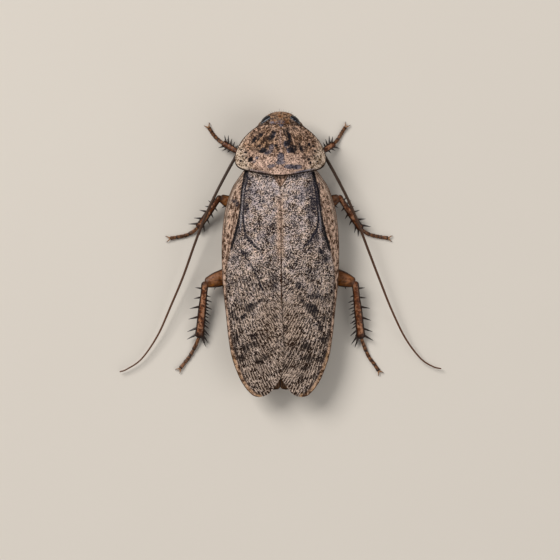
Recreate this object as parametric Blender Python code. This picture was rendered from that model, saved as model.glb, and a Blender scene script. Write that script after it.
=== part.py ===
"""A Madeira cockroach at rest, life size, as a still display model.

The head points to +Y, the animal's right side is +X and +Z is up. It stands on the floor, z = 0, with the
origin under the middle of the body. Sizes and places are in millimetres, which finish turns into metres.
"""

import math
import random

import bmesh
import bpy
import numpy as np
from mathutils import Matrix, Vector

MM = 0.001  # metres in a millimetre
GAP = 0.3  # clearance between neighbouring pieces
MERGE = 0.00002  # points closer than this are one
UP = Vector((0, 0, 1))

# Pronotum, the shield over the prothorax: the right half of its outline, from the front round to the back.
PRONOTUM_OUTLINE = [
    (0.0, 20.85), (2.0, 20.8), (3.75, 20.4), (5.0, 19.5), (6.05, 18.4), (6.85, 17.1), (7.25, 16.0),
    (7.33, 15.2), (7.15, 14.4), (6.6, 13.8), (5.6, 13.42), (3.6, 13.0), (1.7, 12.65), (0.0, 12.53),
]
PRONOTUM_CENTRE_Y = 16.4
# (y, height) along the midline
PRONOTUM_RIDGE = [(12.5, 8.1), (14.5, 8.65), (17.0, 8.8), (19.0, 8.35), (20.9, 7.5)]
PRONOTUM_HALF_WIDTH = 7.33
PRONOTUM_DROP = 3.4  # fall from the midline to the side margins
PRONOTUM_ROUNDING = 2.2
PRONOTUM_THICKNESS = 0.55
# The size of each ring of points as a share of the outline, and how far the rim stands up there.
PRONOTUM_RINGS = [(1.0, 0.1), (0.965, 0.12), (0.92, 0.0), (0.78, 0.0), (0.58, 0.0), (0.36, 0.0), (0.15, 0.0)]
PRONOTUM_STEPS = 17  # steps along each half of the outline

# The folded forewings as one roof: (y, height) on the midline and at the outer margins, and (y, half width).
WING_RIDGE = [
    (-22.9, 4.9), (-18.0, 6.0), (-12.0, 7.2), (-5.0, 8.05), (2.0, 8.3), (7.0, 8.05), (10.0, 7.65), (13.6, 6.9),
]
WING_HEM = [(-22.9, 4.4), (-18.0, 4.5), (-8.0, 4.7), (2.0, 4.9), (10.0, 4.9), (13.6, 4.5)]
WING_HALF_WIDTH = [
    (-22.9, 6.2), (-20.0, 7.0), (-17.0, 7.8), (-13.5, 8.4), (-9.8, 8.8), (-5.0, 9.3), (0.0, 9.5), (4.2, 9.35),
    (7.6, 8.85), (10.9, 7.8), (13.6, 6.3),
]
WING_ROUNDING = 3.0
WING_THICKNESS = 0.5

# Forewing outlines from the root to the tip, x measured away from the midline on the wing's own side.
FOREWING_TIP = (3.5, -22.78)
FOREWING_OUTER = [
    (5.3, 14.15), (5.9, 13.4), (6.9, 12.0), (7.75, 10.6), (8.75, 7.6), (9.25, 4.2), (9.4, 0.0), (9.2, -5.0),
    (8.7, -9.8), (8.3, -13.5), (7.75, -16.5), (6.7, -19.4), (5.85, -20.95), (5.0, -22.0), (4.25, -22.6),
    FOREWING_TIP,
]
FOREWING_INNER = {
    "left": [
        (1.75, 13.3), (1.35, 12.3), (0.82, 11.3), (0.32, 10.35), (0.17, 9.9), (0.14, 9.2), (0.12, 8.4),
        (-0.05, 7.2), (-0.15, 4.0), (-0.15, -6.0), (-0.3, -14.0), (-0.05, -18.8), (0.35, -20.2), (1.0, -21.35),
        (1.8, -22.2), (2.65, -22.65), FOREWING_TIP,
    ],
    "right": [
        (1.75, 13.3), (1.35, 12.3), (0.82, 11.3), (0.32, 10.35), (0.17, 9.9), (0.14, 9.2), (0.12, 8.4),
        (-0.2, 7.6), (-0.8, 6.5), (-1.3, 4.8), (-1.6, 1.0), (-1.6, -6.0), (-1.3, -14.0), (-0.1, -18.6),
        (0.4, -20.1), (1.05, -21.35), (1.8, -22.2), (2.65, -22.65), FOREWING_TIP,
    ],
}
OVERLAP_DIP = WING_THICKNESS + GAP + 0.06  # the right forewing dips this far to pass under the left one
DIP_FADE_X = (0.4, 1.15)  # from full dip to none, across the wing
DIP_FADE_Y = (8.3, 9.6)  # and towards its root
FOREWING_ROWS = 20
FOREWING_MORE_ROWS = [0.12, 0.135, 0.974, 0.99, 0.997]  # where the two cross, and at the tip
VEIN_RISE = 0.14
VEIN_PITCH = 3  # every third line along the wing is a vein
VEIN_FREE = 1.2  # no vein is nearer than this to the midline, where the wings overlap
FOREWING_LINES = 19

# Hindwings, folded fans that lie between the forewings and the abdomen.
HINDWING_TIP = (1.25, -21.5)
HINDWING_OUTER = [
    (4.6, 8.7), (6.3, 5.2), (7.3, 0.0), (7.5, -6.0), (7.0, -12.0), (5.6, -16.5), (3.9, -19.4), (2.5, -20.9),
    HINDWING_TIP,
]
HINDWING_INNER = [(0.3, 8.7), (0.2, 4.0), (0.2, -6.0), (0.2, -14.0), (0.2, -19.5), (0.4, -20.9), HINDWING_TIP]
HINDWING_DEPTH = 1.7  # from the roof down to the hindwing's upper face
HINDWING_ROWS = 12
HINDWING_MORE_ROWS = [0.97]
HINDWING_LINES = 8

# Trunk: rows of y, half width, top and bottom. A top of 9 means up to the cover above it.
WING_FRONT_Y = 14.5  # the forewings' roots lie behind this
WING_ROOT_Y = 9.95  # the forewings lie on the thorax in front of this, and the hindwings behind it
TRUNK_ROUNDING = 3.4
TRUNK_SLACK = 0.04  # added where its flat facets pass under a curved cover
TRUNK_SIDES = 20
PROTHORAX = [
    (18.4, 2.0, 6.2, 3.4), (17.6, 2.9, 9.0, 3.1), (16.6, 3.6, 9.0, 2.95), (15.0, 4.1, 9.0, 2.95),
    (14.4, 4.2, 9.0, 2.95), (13.05, 4.2, 9.0, 3.0),
]
THORAX = [
    (12.75, 4.2, 9.0, 3.0), (11.9, 4.7, 9.0, 3.0), (11.0, 5.0, 9.0, 3.0), (10.0, 5.05, 9.0, 3.0),
    (9.8, 5.05, 5.6, 3.0), (8.0, 5.2, 5.6, 3.0), (4.5, 5.4, 5.6, 3.0), (1.35, 5.6, 5.6, 3.0),
]
ABDOMEN = [
    (1.05, 5.7, 5.6, 3.0), (-2.0, 6.5, 5.6, 2.9), (-6.0, 6.9, 5.3, 2.5), (-10.0, 6.6, 4.75, 2.1),
    (-14.0, 5.5, 4.15, 2.0), (-17.0, 3.9, 3.6, 2.1), (-19.0, 2.6, 3.2, 2.3), (-19.7, 2.0, 3.05, 2.4),
]
ABDOMEN_SEGMENTS = 8
SEGMENT_SEAM = 0.02  # share of a ring's length that the step to the next one takes, on each side
SEGMENT_STEP = 0.14  # each ring starts this much smaller than the hind edge of the one before it
SCUTELLUM = [(-1.05, 12.4), (1.05, 12.4), (0.0, 10.45)]
SCUTELLUM_THICKNESS = 0.5

# Head: an axis from the crown to the mouth, and (share of the axis, half width, half depth) down it.
HEAD_CROWN = (0.0, 21.95, 6.4)
HEAD_MOUTH = (0.0, 19.85, 1.5)
HEAD_SECTIONS = [
    (0.0, 0.7, 0.45), (0.04, 1.4, 0.85), (0.12, 2.15, 1.25), (0.24, 2.65, 1.5), (0.37, 2.8, 1.6),
    (0.5, 2.65, 1.55), (0.63, 2.3, 1.4), (0.76, 1.8, 1.15), (0.88, 1.4, 0.9), (1.0, 1.05, 0.55),
]
HEAD_SIDES = 20
EYE_CENTRE = (2.15, 21.35, 5.15)
EYE_RADII = (0.8, 1.2, 1.25)
EYE_TURN = 47.0  # degrees, from facing the side to facing half forwards
EYE_SIDES = 14
EYE_RINGS = 9
NECK = [(0.0, 19.05, 4.65), (0.0, 18.7, 4.65)]
NECK_RADIUS = 1.25
NECK_SIDES = 14
LABRUM = [(0.0, 21.1, 2.35), (0.0, 20.95, 1.6), (0.0, 20.6, 0.95)]
LABRUM_HALF_WIDTHS = [(0.0, 0.75), (0.5, 0.8), (1.0, 0.5)]  # share and half width
LABRUM_HALF_DEPTH = 0.26
LABRUM_STEPS = 3
LABRUM_SIDES = 8
PALP = [(1.2, 20.5, 1.9), (1.75, 21.0, 1.85), (2.15, 21.4, 1.4), (2.25, 21.5, 0.75)]
PALP_RADIUS = 0.28
PALP_WAIST = 0.7  # the radius between two joints, over the joints' own
PALP_STEPS = 6
PALP_SIDES = 6

# Antennae: from the face out under the shield, and back over the middle legs to the tips near the floor.
ANTENNA_ROOT = [
    (2.0, 21.55, 3.2), (2.9, 21.25, 3.2), (3.85, 20.4, 3.6), (5.2, 18.95, 3.85), (6.45, 17.2, 4.0),
]
ANTENNA_SWEEP = {
    "left": [
        (-7.5, 15.1, 4.05), (-8.9, 12.55, 4.05), (-10.67, 9.1, 4.0), (-12.4, 5.3, 3.6), (-13.9, 1.3, 3.0),
        (-15.65, -3.6, 2.4), (-17.55, -8.1, 1.85), (-19.7, -12.9, 1.3), (-22.3, -16.7, 0.95),
        (-24.7, -18.4, 0.8), (-25.9, -18.85, 0.75),
    ],
    "right": [
        (7.4, 15.3, 4.05), (8.8, 12.8, 4.05), (10.86, 8.8, 4.0), (12.5, 5.0, 3.6), (13.9, 1.3, 3.0),
        (15.9, -3.9, 2.4), (17.9, -8.9, 1.85), (20.1, -13.4, 1.3), (22.5, -16.6, 0.95), (24.5, -17.95, 0.8),
        (25.95, -18.35, 0.75),
    ],
}
ANTENNA_RADII = (0.32, 0.25)
ANTENNA_TIP = 0.5  # the last radius at the tip, over the one before
ANTENNA_SIDES = 6
ANTENNA_LENGTH = 49.0
SCAPE_BALL = 0.38
# The lengths of an antenna: the shares of the whole at which each starts and ends, and its steps.
ANTENNA_LENGTHS = {"scape": (0.0, 0.06, 4), "near": (0.06, 0.5, 14), "far": (0.5, 1.0, 14)}

# Cerci, the pair of short feelers at the tail.
CERCUS = [(1.45, -19.4, 2.65), (2.3, -20.4, 2.5), (3.0, -21.25, 2.45)]
CERCUS_RADII = [(0.0, 0.3), (0.2, 0.38), (0.6, 0.36), (1.0, 0.12)]  # share and radius
CERCUS_STEPS = 5
CERCUS_SIDES = 8

# Legs: the coxa's route on the animal's right, and for each leg the knee, the ankle and the foot's route.
COXA_ROUTES = {
    "fore": [(1.6, 17.2, 2.2), (2.2, 15.6, 2.05), (2.95, 14.0, 1.6)],
    "middle": [(2.35, 11.4, 2.16), (3.15, 8.9, 2.04), (3.9, 6.5, 1.6)],
    "hind": [(2.6, 4.7, 2.16), (3.7, 1.2, 2.04), (4.7, -2.0, 1.6)],
}
LEG_ROUTES = {
    "fore_left": [(-6.5, 16.3, 2.3), (-9.15, 17.95, 0.85),
                  [(-9.8, 18.35, 0.4), (-10.66, 19.2, 0.24), (-11.2, 19.95, 0.24), (-11.54, 20.5, 0.42)]],
    "fore_right": [(6.3, 16.25, 2.3), (8.6, 17.85, 0.85),
                   [(9.1, 18.4, 0.4), (9.65, 19.25, 0.24), (10.1, 20.0, 0.24), (10.5, 20.6, 0.42)]],
    "middle_left": [(-9.75, 9.2, 2.6), (-13.25, 4.35, 0.85),
                    [(-14.1, 3.7, 0.4), (-15.2, 3.15, 0.24), (-16.6, 2.85, 0.24), (-17.75, 2.65, 0.42)]],
    "middle_right": [(9.5, 9.25, 2.6), (13.0, 4.1, 0.85),
                     [(13.8, 3.55, 0.4), (14.8, 3.15, 0.24), (16.1, 2.88, 0.24), (17.35, 2.7, 0.42)]],
    "hind_left": [(-12.1, -4.6, 2.6), (-13.05, -13.3, 0.85),
                  [(-13.75, -14.8, 0.4), (-14.65, -16.4, 0.24), (-15.35, -17.3, 0.24), (-16.15, -18.3, 0.42)]],
    "hind_right": [(12.0, -4.55, 2.6), (13.0, -13.45, 0.85),
                   [(13.6, -15.0, 0.4), (14.3, -16.5, 0.24), (15.05, -17.5, 0.24), (15.85, -18.7, 0.42)]],
}
# Half width and half height of coxa, femur and tibia by pair of legs.
LEG_SIZES = {
    "fore": {"coxa": (1.05, 0.6), "femur": (0.9, 0.6), "tibia": (0.46, 0.46)},
    "middle": {"coxa": (1.5, 0.62), "femur": (1.05, 0.65), "tibia": (0.53, 0.48)},
    "hind": {"coxa": (1.8, 0.62), "femur": (1.3, 0.68), "tibia": (0.64, 0.54)},
}
# Share along each piece, and its half width there over the full half width. Heights stay fuller.
COXA_TAPER = [(0.0, 0.55), (0.15, 0.86), (0.4, 1.0), (0.75, 0.8), (1.0, 0.42)]
FEMUR_TAPER = [(0.0, 0.4), (0.12, 0.52), (0.25, 0.8), (0.42, 1.0), (0.65, 0.97), (0.85, 0.77), (1.0, 0.52)]
TIBIA_TAPER = [(0.0, 0.7), (0.1, 0.8), (0.35, 0.92), (0.7, 1.0), (0.9, 1.0), (1.0, 0.85)]
HEIGHT_EASE = 0.5  # how much of the width's taper the height follows
JOINT_BALL = {"hip": 0.5, "knee": 0.46, "ankle": 0.36}
LEG_SIDES = 8

# Spines by pair of legs: shares down the shin, side (1 is the outer or front one), lengths and leans from the
# first spine to the last, and how far the row points up. A lean is the turn from square to the shin towards
# the foot.
SPINE_ROWS = {
    "fore": [((0.34, 0.5, 0.66, 0.78), 1, (0.5, 1.2), (-10, 42), 12),
             ((0.6, 0.78), -1, (0.55, 1.0), (15, 44), -8)],
    "middle": [((0.22, 0.36, 0.52, 0.7, 0.86), 1, (0.75, 1.45), (-2, 42), 12),
               ((0.4, 0.62, 0.85), -1, (0.7, 1.1), (25, 45), -8)],
    "hind": [((0.1, 0.25, 0.41, 0.6, 0.78, 0.9), 1, (0.9, 1.5), (0, 38), 12),
             ((0.32, 0.48, 0.63, 0.77, 0.9), -1, (0.85, 1.6), (18, 52), -8)],
}
KNEE_SPINES = {  # the same for the thigh
    "middle": [((0.72,), -1, (0.6, 0.6), (30, 30), 0)],
    "hind": [((0.6,), -1, (0.75, 0.75), (38, 38), 0), ((0.88,), 1, (0.6, 0.6), (20, 20), 8)],
}
KNEE_SPINE_DEPTH = 0.85  # half the thigh's width where they stand, over its full half width
SPINE_RADIUS = 0.25
SPINE_SIDES = 5
SPINE_VARIATION = 0.12

FOOT_RADIUS = 0.28
FOOT_WAIST = 0.8  # how far each foot joint narrows between its ends
FOOT_JOINTS = 5
FOOT_SIDES = 6
FLAT_BELOW = 0.06  # what lies lower than this on the foot is pressed flat on the floor
CLAW = [(-0.25, -0.03), (0.35, 0.05), (0.75, -0.14), (0.95, -0.32)]  # forwards and up
CLAW_RADIUS = 0.17
CLAW_TAPER = 0.8  # share of the radius that is lost by the tip
CLAW_STEPS = 3
CLAW_SIDES = 5
CLAW_APART = 0.12  # half the distance between their roots
CLAW_SPREAD = 40.0  # degrees to each side of the foot

SHARP_FROM = 40.0  # degrees between faces whose edge stays sharp

LOOKS = {  # linear base colour and roughness
    "head": ((0.17, 0.085, 0.04), 0.45),
    "eye": ((0.012, 0.011, 0.012), 0.15),
    "antenna": ((0.10, 0.055, 0.032), 0.5),
    "pronotum": ((0.25, 0.16, 0.09), 0.5),
    "trunk": ((0.12, 0.055, 0.025), 0.4),
    "forewing": ((0.20, 0.155, 0.12), 0.55),
    "hindwing": ((0.16, 0.08, 0.035), 0.5),
    "leg": ((0.20, 0.075, 0.025), 0.35),
}


# Curves and profiles

CURVE_STEPS = 12


def along(points, shares):
    """Points of the smooth curve through the given ones, at shares of its length."""
    given = np.array(points, dtype=float)
    padded = np.vstack([2 * given[0] - given[1], given, 2 * given[-1] - given[-2]])
    fine = []
    for start in range(len(given) - 1):
        a, b, c, d = padded[start:start + 4]
        for t in np.linspace(0, 1, CURVE_STEPS, endpoint=False):
            curved = (2 * a - 5 * b + 4 * c - d) * t ** 2 + (3 * b - a - 3 * c + d) * t ** 3
            fine.append(b + 0.5 * ((c - a) * t + curved))
    fine.append(given[-1])
    fine = np.array(fine)
    lengths = np.concatenate([[0], np.cumsum(np.linalg.norm(np.diff(fine, axis=0), axis=1))])
    wanted = np.array(shares) * lengths[-1]
    columns = [np.interp(wanted, lengths, fine[:, axis]) for axis in range(fine.shape[1])]
    return [Vector(point) for point in np.stack(columns, axis=1)]


def longer(route, extra):
    """The route with both ends moved on by extra."""
    first = route[0] + (route[0] - route[1]).normalized() * extra
    last = route[-1] + (route[-1] - route[-2]).normalized() * extra
    return [first] + route[1:-1] + [last]


def steps(count):
    """Even shares from 0 to 1."""
    return np.linspace(0, 1, count + 1)


def read(table, where):
    """The value of a rising table of (place, value) rows."""
    return float(np.interp(where, [row[0] for row in table], [row[1] for row in table]))


def fade(value, start, end):
    """1 before start, 0 after end and smooth between."""
    t = min(max((value - start) / (end - start), 0.0), 1.0)
    return 1 - t * t * (3 - 2 * t)


# Curved surfaces

SLOPE_REACH = 0.05  # half the length over which a slope is taken


def pronotum_height(x, y):
    share = min(abs(x) / PRONOTUM_HALF_WIDTH, 1.0)
    return read(PRONOTUM_RIDGE, y) - PRONOTUM_DROP * share ** PRONOTUM_ROUNDING


def roof_height(x, y):
    """Upper face of the folded forewings."""
    hem = read(WING_HEM, y)
    share = min(abs(x) / read(WING_HALF_WIDTH, y), 1.0)
    return hem + (read(WING_RIDGE, y) - hem) * (1 - share ** WING_ROUNDING)


def dipped_height(x, y):
    """Upper face of the right forewing, which passes under the left one at the midline."""
    return roof_height(x, y) - OVERLAP_DIP * fade(x, *DIP_FADE_X) * fade(y, *DIP_FADE_Y)


def hindwing_height(x, y):
    return beneath(roof_height, x, y, HINDWING_DEPTH)


def normal_at(height, x, y):
    """Upward normal of the surface z = height(x, y)."""
    slope_x = (height(x + SLOPE_REACH, y) - height(x - SLOPE_REACH, y)) / (2 * SLOPE_REACH)
    slope_y = (height(x, y + SLOPE_REACH) - height(x, y - SLOPE_REACH)) / (2 * SLOPE_REACH)
    return Vector((-slope_x, -slope_y, 1)).normalized()


def beneath(height, x, y, depth):
    """Height of the point that lies the given depth inside the surface, measured square to it."""
    return height(x, y) - depth / max(normal_at(height, x, y).z, 0.5)


# Loose closed bodies in millimetres

BALL_SIDES = 8
BALL_RINGS = 5


def body(make, *values):
    """A new object with the closed mesh that make adds."""
    mesh = bmesh.new()
    make(mesh, *values)
    bmesh.ops.recalc_face_normals(mesh, faces=mesh.faces)
    data = bpy.data.meshes.new("body")
    mesh.to_mesh(data)
    mesh.free()
    made = bpy.data.objects.new("body", data)
    bpy.context.scene.collection.objects.link(made)
    return made


def add_tube(mesh, route, half_widths, half_heights, sides):
    """A tube of oval rings along the route, its wide way level and a flat side downwards."""
    rings = []
    for place, centre in enumerate(route):
        ahead = (route[min(place + 1, len(route) - 1)] - route[max(place - 1, 0)]).normalized()
        across = ahead.cross(UP).normalized()
        upward = across.cross(ahead)
        ring = []
        for side in range(sides):
            angle = math.tau * (side + 0.5) / sides - math.pi / 2
            sideways = across * math.cos(angle) * half_widths[place]
            ring.append(mesh.verts.new(centre + sideways + upward * math.sin(angle) * half_heights[place]))
        rings.append(ring)
    close_rings(mesh, rings)


def close_rings(mesh, rings):
    """Faces between the rings, and one across each end."""
    for near, far in zip(rings, rings[1:]):
        for side in range(len(near)):
            after = (side + 1) % len(near)
            mesh.faces.new([near[side], near[after], far[after], far[side]])
    mesh.faces.new(rings[0])
    mesh.faces.new(rings[-1])


def add_ball(mesh, centre, radius):
    place = Matrix.Translation(Vector(centre))
    bmesh.ops.create_uvsphere(mesh, u_segments=BALL_SIDES, v_segments=BALL_RINGS, radius=radius, matrix=place)


def add_plate(mesh, rows, tip, closed, height, facing, thickness):
    """A curved plate whose upper and lower faces carry the same triangles.

    rows hold (x, y, rise above the surface) and end in the tip; closed rows are rings round the tip. Its
    thickness is measured square to the surface named facing.
    """
    def pair(point):
        x, y, rise = point
        base = Vector((x, y, height(x, y)))
        normal = normal_at(facing, x, y)
        return mesh.verts.new(base + UP * rise), mesh.verts.new(base - normal * thickness)

    grid = [[pair(point) for point in row] for row in rows]
    end = pair(tip)
    width = len(rows[0])
    cells = range(width if closed else width - 1)
    for near, far in zip(grid, grid[1:]):
        for cell in cells:
            after = (cell + 1) % width
            for face in (0, 1):
                mesh.faces.new([near[cell][face], near[after][face], far[after][face]])
                mesh.faces.new([near[cell][face], far[after][face], far[cell][face]])
    for cell in cells:
        after = (cell + 1) % width
        for face in (0, 1):
            mesh.faces.new([grid[-1][cell][face], grid[-1][after][face], end[face]])
    if closed:
        rim = grid[0] + grid[0][:1]
    else:
        rim = [row[0] for row in reversed(grid)] + grid[0][1:] + [row[-1] for row in grid[1:]] + [end]
        rim = [end] + rim
    for here, there in zip(rim, rim[1:]):
        mesh.faces.new([here[0], there[0], there[1], here[1]])


def add_trunk(mesh, rows, ceiling):
    """A body of rounded boxes along y, no higher than the ceiling above it."""
    rings = []
    for y, half_width, top, bottom in rows:
        middle = (top + bottom) / 2
        ring = []
        for side in range(TRUNK_SIDES):
            angle = math.tau * (side + 0.5) / TRUNK_SIDES
            x = half_width * math.copysign(abs(math.cos(angle)) ** (2 / TRUNK_ROUNDING), math.cos(angle))
            lift = math.copysign(abs(math.sin(angle)) ** (2 / TRUNK_ROUNDING), math.sin(angle))
            z = middle + (top - middle) * lift
            ring.append(mesh.verts.new((x, y, min(z, ceiling(x, y)))))
        rings.append(ring)
    close_rings(mesh, rings)


# Joining, cutting and finishing

def combine(target, others, operation):
    """Join the other bodies to the target, or cut them out of it, and remove them."""
    group = bpy.data.collections.new("pieces")
    bpy.context.scene.collection.children.link(group)
    for other in others:
        group.objects.link(other)
    boolean = target.modifiers.new("combine", "BOOLEAN")
    boolean.operand_type = "COLLECTION"
    boolean.collection = group
    boolean.operation = operation
    boolean.solver = "EXACT"
    bpy.context.view_layer.update()
    result = bpy.data.meshes.new_from_object(target.evaluated_get(bpy.context.evaluated_depsgraph_get()))
    target.modifiers.clear()
    target.data = result
    for other in others:
        bpy.data.objects.remove(other)
    bpy.data.collections.remove(group)


def keep_largest(mesh):
    """Leave only the closed surface with the largest box."""
    left = set(mesh.verts)
    shells = []
    while left:
        shell = {left.pop()}
        edge = list(shell)
        while edge:
            vert = edge.pop()
            for link in vert.link_edges:
                other = link.other_vert(vert)
                if other not in shell:
                    shell.add(other)
                    edge.append(other)
        left -= shell
        low = Vector(tuple(min(vert.co[axis] for vert in shell) for axis in range(3)))
        high = Vector(tuple(max(vert.co[axis] for vert in shell) for axis in range(3)))
        shells.append(((high - low).length, shell))
    shells.sort(key=lambda entry: entry[0])
    for _, shell in shells[:-1]:
        bmesh.ops.delete(mesh, geom=list(shell), context="VERTS")


def finish(made, name, look):
    """Name the body, give it its material and turn it from millimetres into metres."""
    mesh = bmesh.new()
    mesh.from_mesh(made.data)
    bmesh.ops.remove_doubles(mesh, verts=mesh.verts, dist=MERGE)
    keep_largest(mesh)
    bmesh.ops.triangulate(mesh, faces=mesh.faces)
    bmesh.ops.scale(mesh, vec=(MM, MM, MM), verts=mesh.verts)
    data = bpy.data.meshes.new(name)
    mesh.to_mesh(data)
    mesh.free()
    data.materials.clear()
    data.materials.append(make_material(name, *LOOKS[look]))
    data.shade_smooth()
    data.set_sharp_from_angle(angle=math.radians(SHARP_FROM))
    made.data = data
    made.name = name


def make_material(name, colour, roughness):
    material = bpy.data.materials.new(name)
    material.use_nodes = True
    shader = material.node_tree.nodes["Principled BSDF"]
    shader.inputs["Base Color"].default_value = (*colour, 1)
    shader.inputs["Roughness"].default_value = roughness
    shader.inputs["Metallic"].default_value = 0.0
    return material


def mirrored(points, side):
    """The points on the animal's right or left side."""
    turn = 1 if side == "right" else -1
    return [(turn * point[0], *point[1:]) for point in points]


# Head

def head_ring_sizes(extra):
    axis = along([HEAD_CROWN, HEAD_MOUTH], [row[0] for row in HEAD_SECTIONS])
    return axis, [row[1] + extra for row in HEAD_SECTIONS], [row[2] + extra for row in HEAD_SECTIONS]


def add_eye(mesh, side, extra):
    turn = 1 if side == "right" else -1
    place = Matrix.Translation((turn * EYE_CENTRE[0], EYE_CENTRE[1], EYE_CENTRE[2]))
    spin = Matrix.Rotation(math.radians(turn * EYE_TURN), 4, "Z")
    size = Matrix.Diagonal([radius + extra for radius in EYE_RADII] + [1])
    whole = place @ spin @ size
    bmesh.ops.create_uvsphere(mesh, u_segments=EYE_SIDES, v_segments=EYE_RINGS, radius=1, matrix=whole)


def add_labrum(mesh, extra):
    route = along(LABRUM, steps(LABRUM_STEPS))
    widths = [read(LABRUM_HALF_WIDTHS, share) + extra for share in steps(LABRUM_STEPS)]
    depths = [LABRUM_HALF_DEPTH + extra] * len(route)
    add_tube(mesh, longer(route, extra), widths, depths, LABRUM_SIDES)


def add_palp(mesh, side, extra):
    route = along(mirrored(PALP, side), steps(PALP_STEPS))
    radii = [PALP_RADIUS * (PALP_WAIST if place % 2 else 1) + extra for place in range(len(route))]
    add_tube(mesh, longer(route, extra), radii, radii, PALP_SIDES)


def make_head():
    axis, half_widths, half_depths = head_ring_sizes(0)
    head = body(add_tube, axis, half_widths, half_depths, HEAD_SIDES)
    sockets = [body(add_labrum, GAP)]
    for side in ("left", "right"):
        sockets.append(body(add_eye, side, GAP))
        sockets.append(body(add_palp, side, GAP))
        sockets.append(body(add_scape, side, GAP))
        sockets.append(body(add_ball, mirrored(ANTENNA_ROOT, side)[0], SCAPE_BALL + GAP))
        finish(body(add_eye, side, 0), "eye_" + side, "eye")
        finish(body(add_palp, side, 0), "palp_" + side, "head")
    combine(head, sockets, "DIFFERENCE")
    finish(head, "head", "head")
    finish(body(add_labrum, 0), "labrum", "head")
    radii = [NECK_RADIUS] * len(NECK)
    finish(body(add_tube, [Vector(point) for point in NECK], radii, radii, NECK_SIDES), "neck", "trunk")


def add_antenna(mesh, side, part, extra):
    """One length of an antenna, with half the gap left at each end where another length goes on."""
    route = mirrored(ANTENNA_ROOT, side) + ANTENNA_SWEEP[side]
    start, end, count = ANTENNA_LENGTHS[part]
    first = start + (0 if part == "scape" else GAP / 2 / ANTENNA_LENGTH)
    last = end - (0 if part == "far" else GAP / 2 / ANTENNA_LENGTH)
    shares = first + (last - first) * steps(count)
    radii = [ANTENNA_RADII[0] + (ANTENNA_RADII[1] - ANTENNA_RADII[0]) * share + extra for share in shares]
    if part == "far":
        radii[-1] *= ANTENNA_TIP
    add_tube(mesh, along(route, shares), radii, radii, ANTENNA_SIDES)


def add_scape(mesh, side, extra):
    add_antenna(mesh, side, "scape", extra)


def make_antenna(side):
    for part in ANTENNA_LENGTHS:
        made = body(add_antenna, side, part, 0)
        if part == "scape":
            combine(made, [body(add_ball, mirrored(ANTENNA_ROOT, side)[0], SCAPE_BALL)], "UNION")
        finish(made, "antenna_" + side + "_" + part, "antenna")


# Trunk and wings

def make_pronotum():
    half = along(PRONOTUM_OUTLINE, steps(PRONOTUM_STEPS))
    loop = [(point.x, point.y) for point in half] + [(-point.x, point.y) for point in reversed(half[1:-1])]
    rows = []
    for size, rise in PRONOTUM_RINGS:
        rows.append([(x * size, PRONOTUM_CENTRE_Y + (y - PRONOTUM_CENTRE_Y) * size, rise) for x, y in loop])
    tip = (0.0, PRONOTUM_CENTRE_Y, 0.0)
    shield = body(add_plate, rows, tip, True, pronotum_height, pronotum_height, PRONOTUM_THICKNESS)
    finish(shield, "pronotum", "pronotum")


def abdomen_rows():
    """Two rows for each ring, so that its hind edge stands over the start of the next."""
    falling = list(reversed(ABDOMEN))
    start, end = ABDOMEN[0][0], ABDOMEN[-1][0]
    length = (start - end) / ABDOMEN_SEGMENTS
    rows = []
    for segment in range(ABDOMEN_SEGMENTS):
        front = SEGMENT_SEAM if segment else 0.0
        back = 1.0 if segment == ABDOMEN_SEGMENTS - 1 else 1.0 - SEGMENT_SEAM
        for share, step in ((front, SEGMENT_STEP), (back, 0)):
            y = start - length * (segment + share)
            tables = [[(row[0], row[column]) for row in falling] for column in (1, 2, 3)]
            half_width, top, bottom = [read(table, y) for table in tables]
            rows.append((y, half_width - step, top - step / 2, bottom + step / 2))
    return rows


def add_cercus(mesh, side, extra):
    route = along(mirrored(CERCUS, side), steps(CERCUS_STEPS))
    radii = [read(CERCUS_RADII, share) + extra for share in steps(CERCUS_STEPS)]
    add_tube(mesh, longer(route, extra), radii, radii, CERCUS_SIDES)


def make_trunk():
    def under_wings(x, y):
        depth = WING_THICKNESS if y > WING_ROOT_Y else HINDWING_DEPTH + WING_THICKNESS
        return beneath(roof_height, x, y, depth + GAP + TRUNK_SLACK)

    def under_shield(x, y):
        shield = beneath(pronotum_height, x, y, PRONOTUM_THICKNESS + GAP + TRUNK_SLACK)
        return min(shield, under_wings(x, y)) if y < WING_FRONT_Y else shield

    finish(body(add_trunk, PROTHORAX, under_shield), "prothorax", "trunk")
    finish(body(add_trunk, THORAX, under_wings), "thorax", "trunk")
    abdomen = body(add_trunk, abdomen_rows(), under_wings)
    combine(abdomen, [body(add_cercus, side, GAP) for side in ("left", "right")], "DIFFERENCE")
    finish(abdomen, "abdomen", "trunk")
    for side in ("left", "right"):
        finish(body(add_cercus, side, 0), "cercus_" + side, "trunk")


def add_scutellum(mesh):
    lower, upper = [], []
    for x, y in SCUTELLUM:
        upper.append(mesh.verts.new((x, y, roof_height(x, y))))
        lower.append(mesh.verts.new((x, y, roof_height(x, y) - SCUTELLUM_THICKNESS)))
    close_rings(mesh, [lower, upper])


def wing_rows(outer, inner, turn, shares, lines, rise):
    """Rows of points across a wing at shares of its outline, with the veins raised behind the first."""
    made = []
    for place, (near, far) in enumerate(zip(along(inner, shares), along(outer, shares))):
        row = []
        for line, share in enumerate(steps(lines)):
            point = near.lerp(far, share)
            vein = place and 0 < line < lines and line % VEIN_PITCH == 0 and point.x > VEIN_FREE
            raised = rise if vein else 0.0
            row.append((turn * point.x, point.y, raised))
        made.append(row)
    return made


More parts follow.
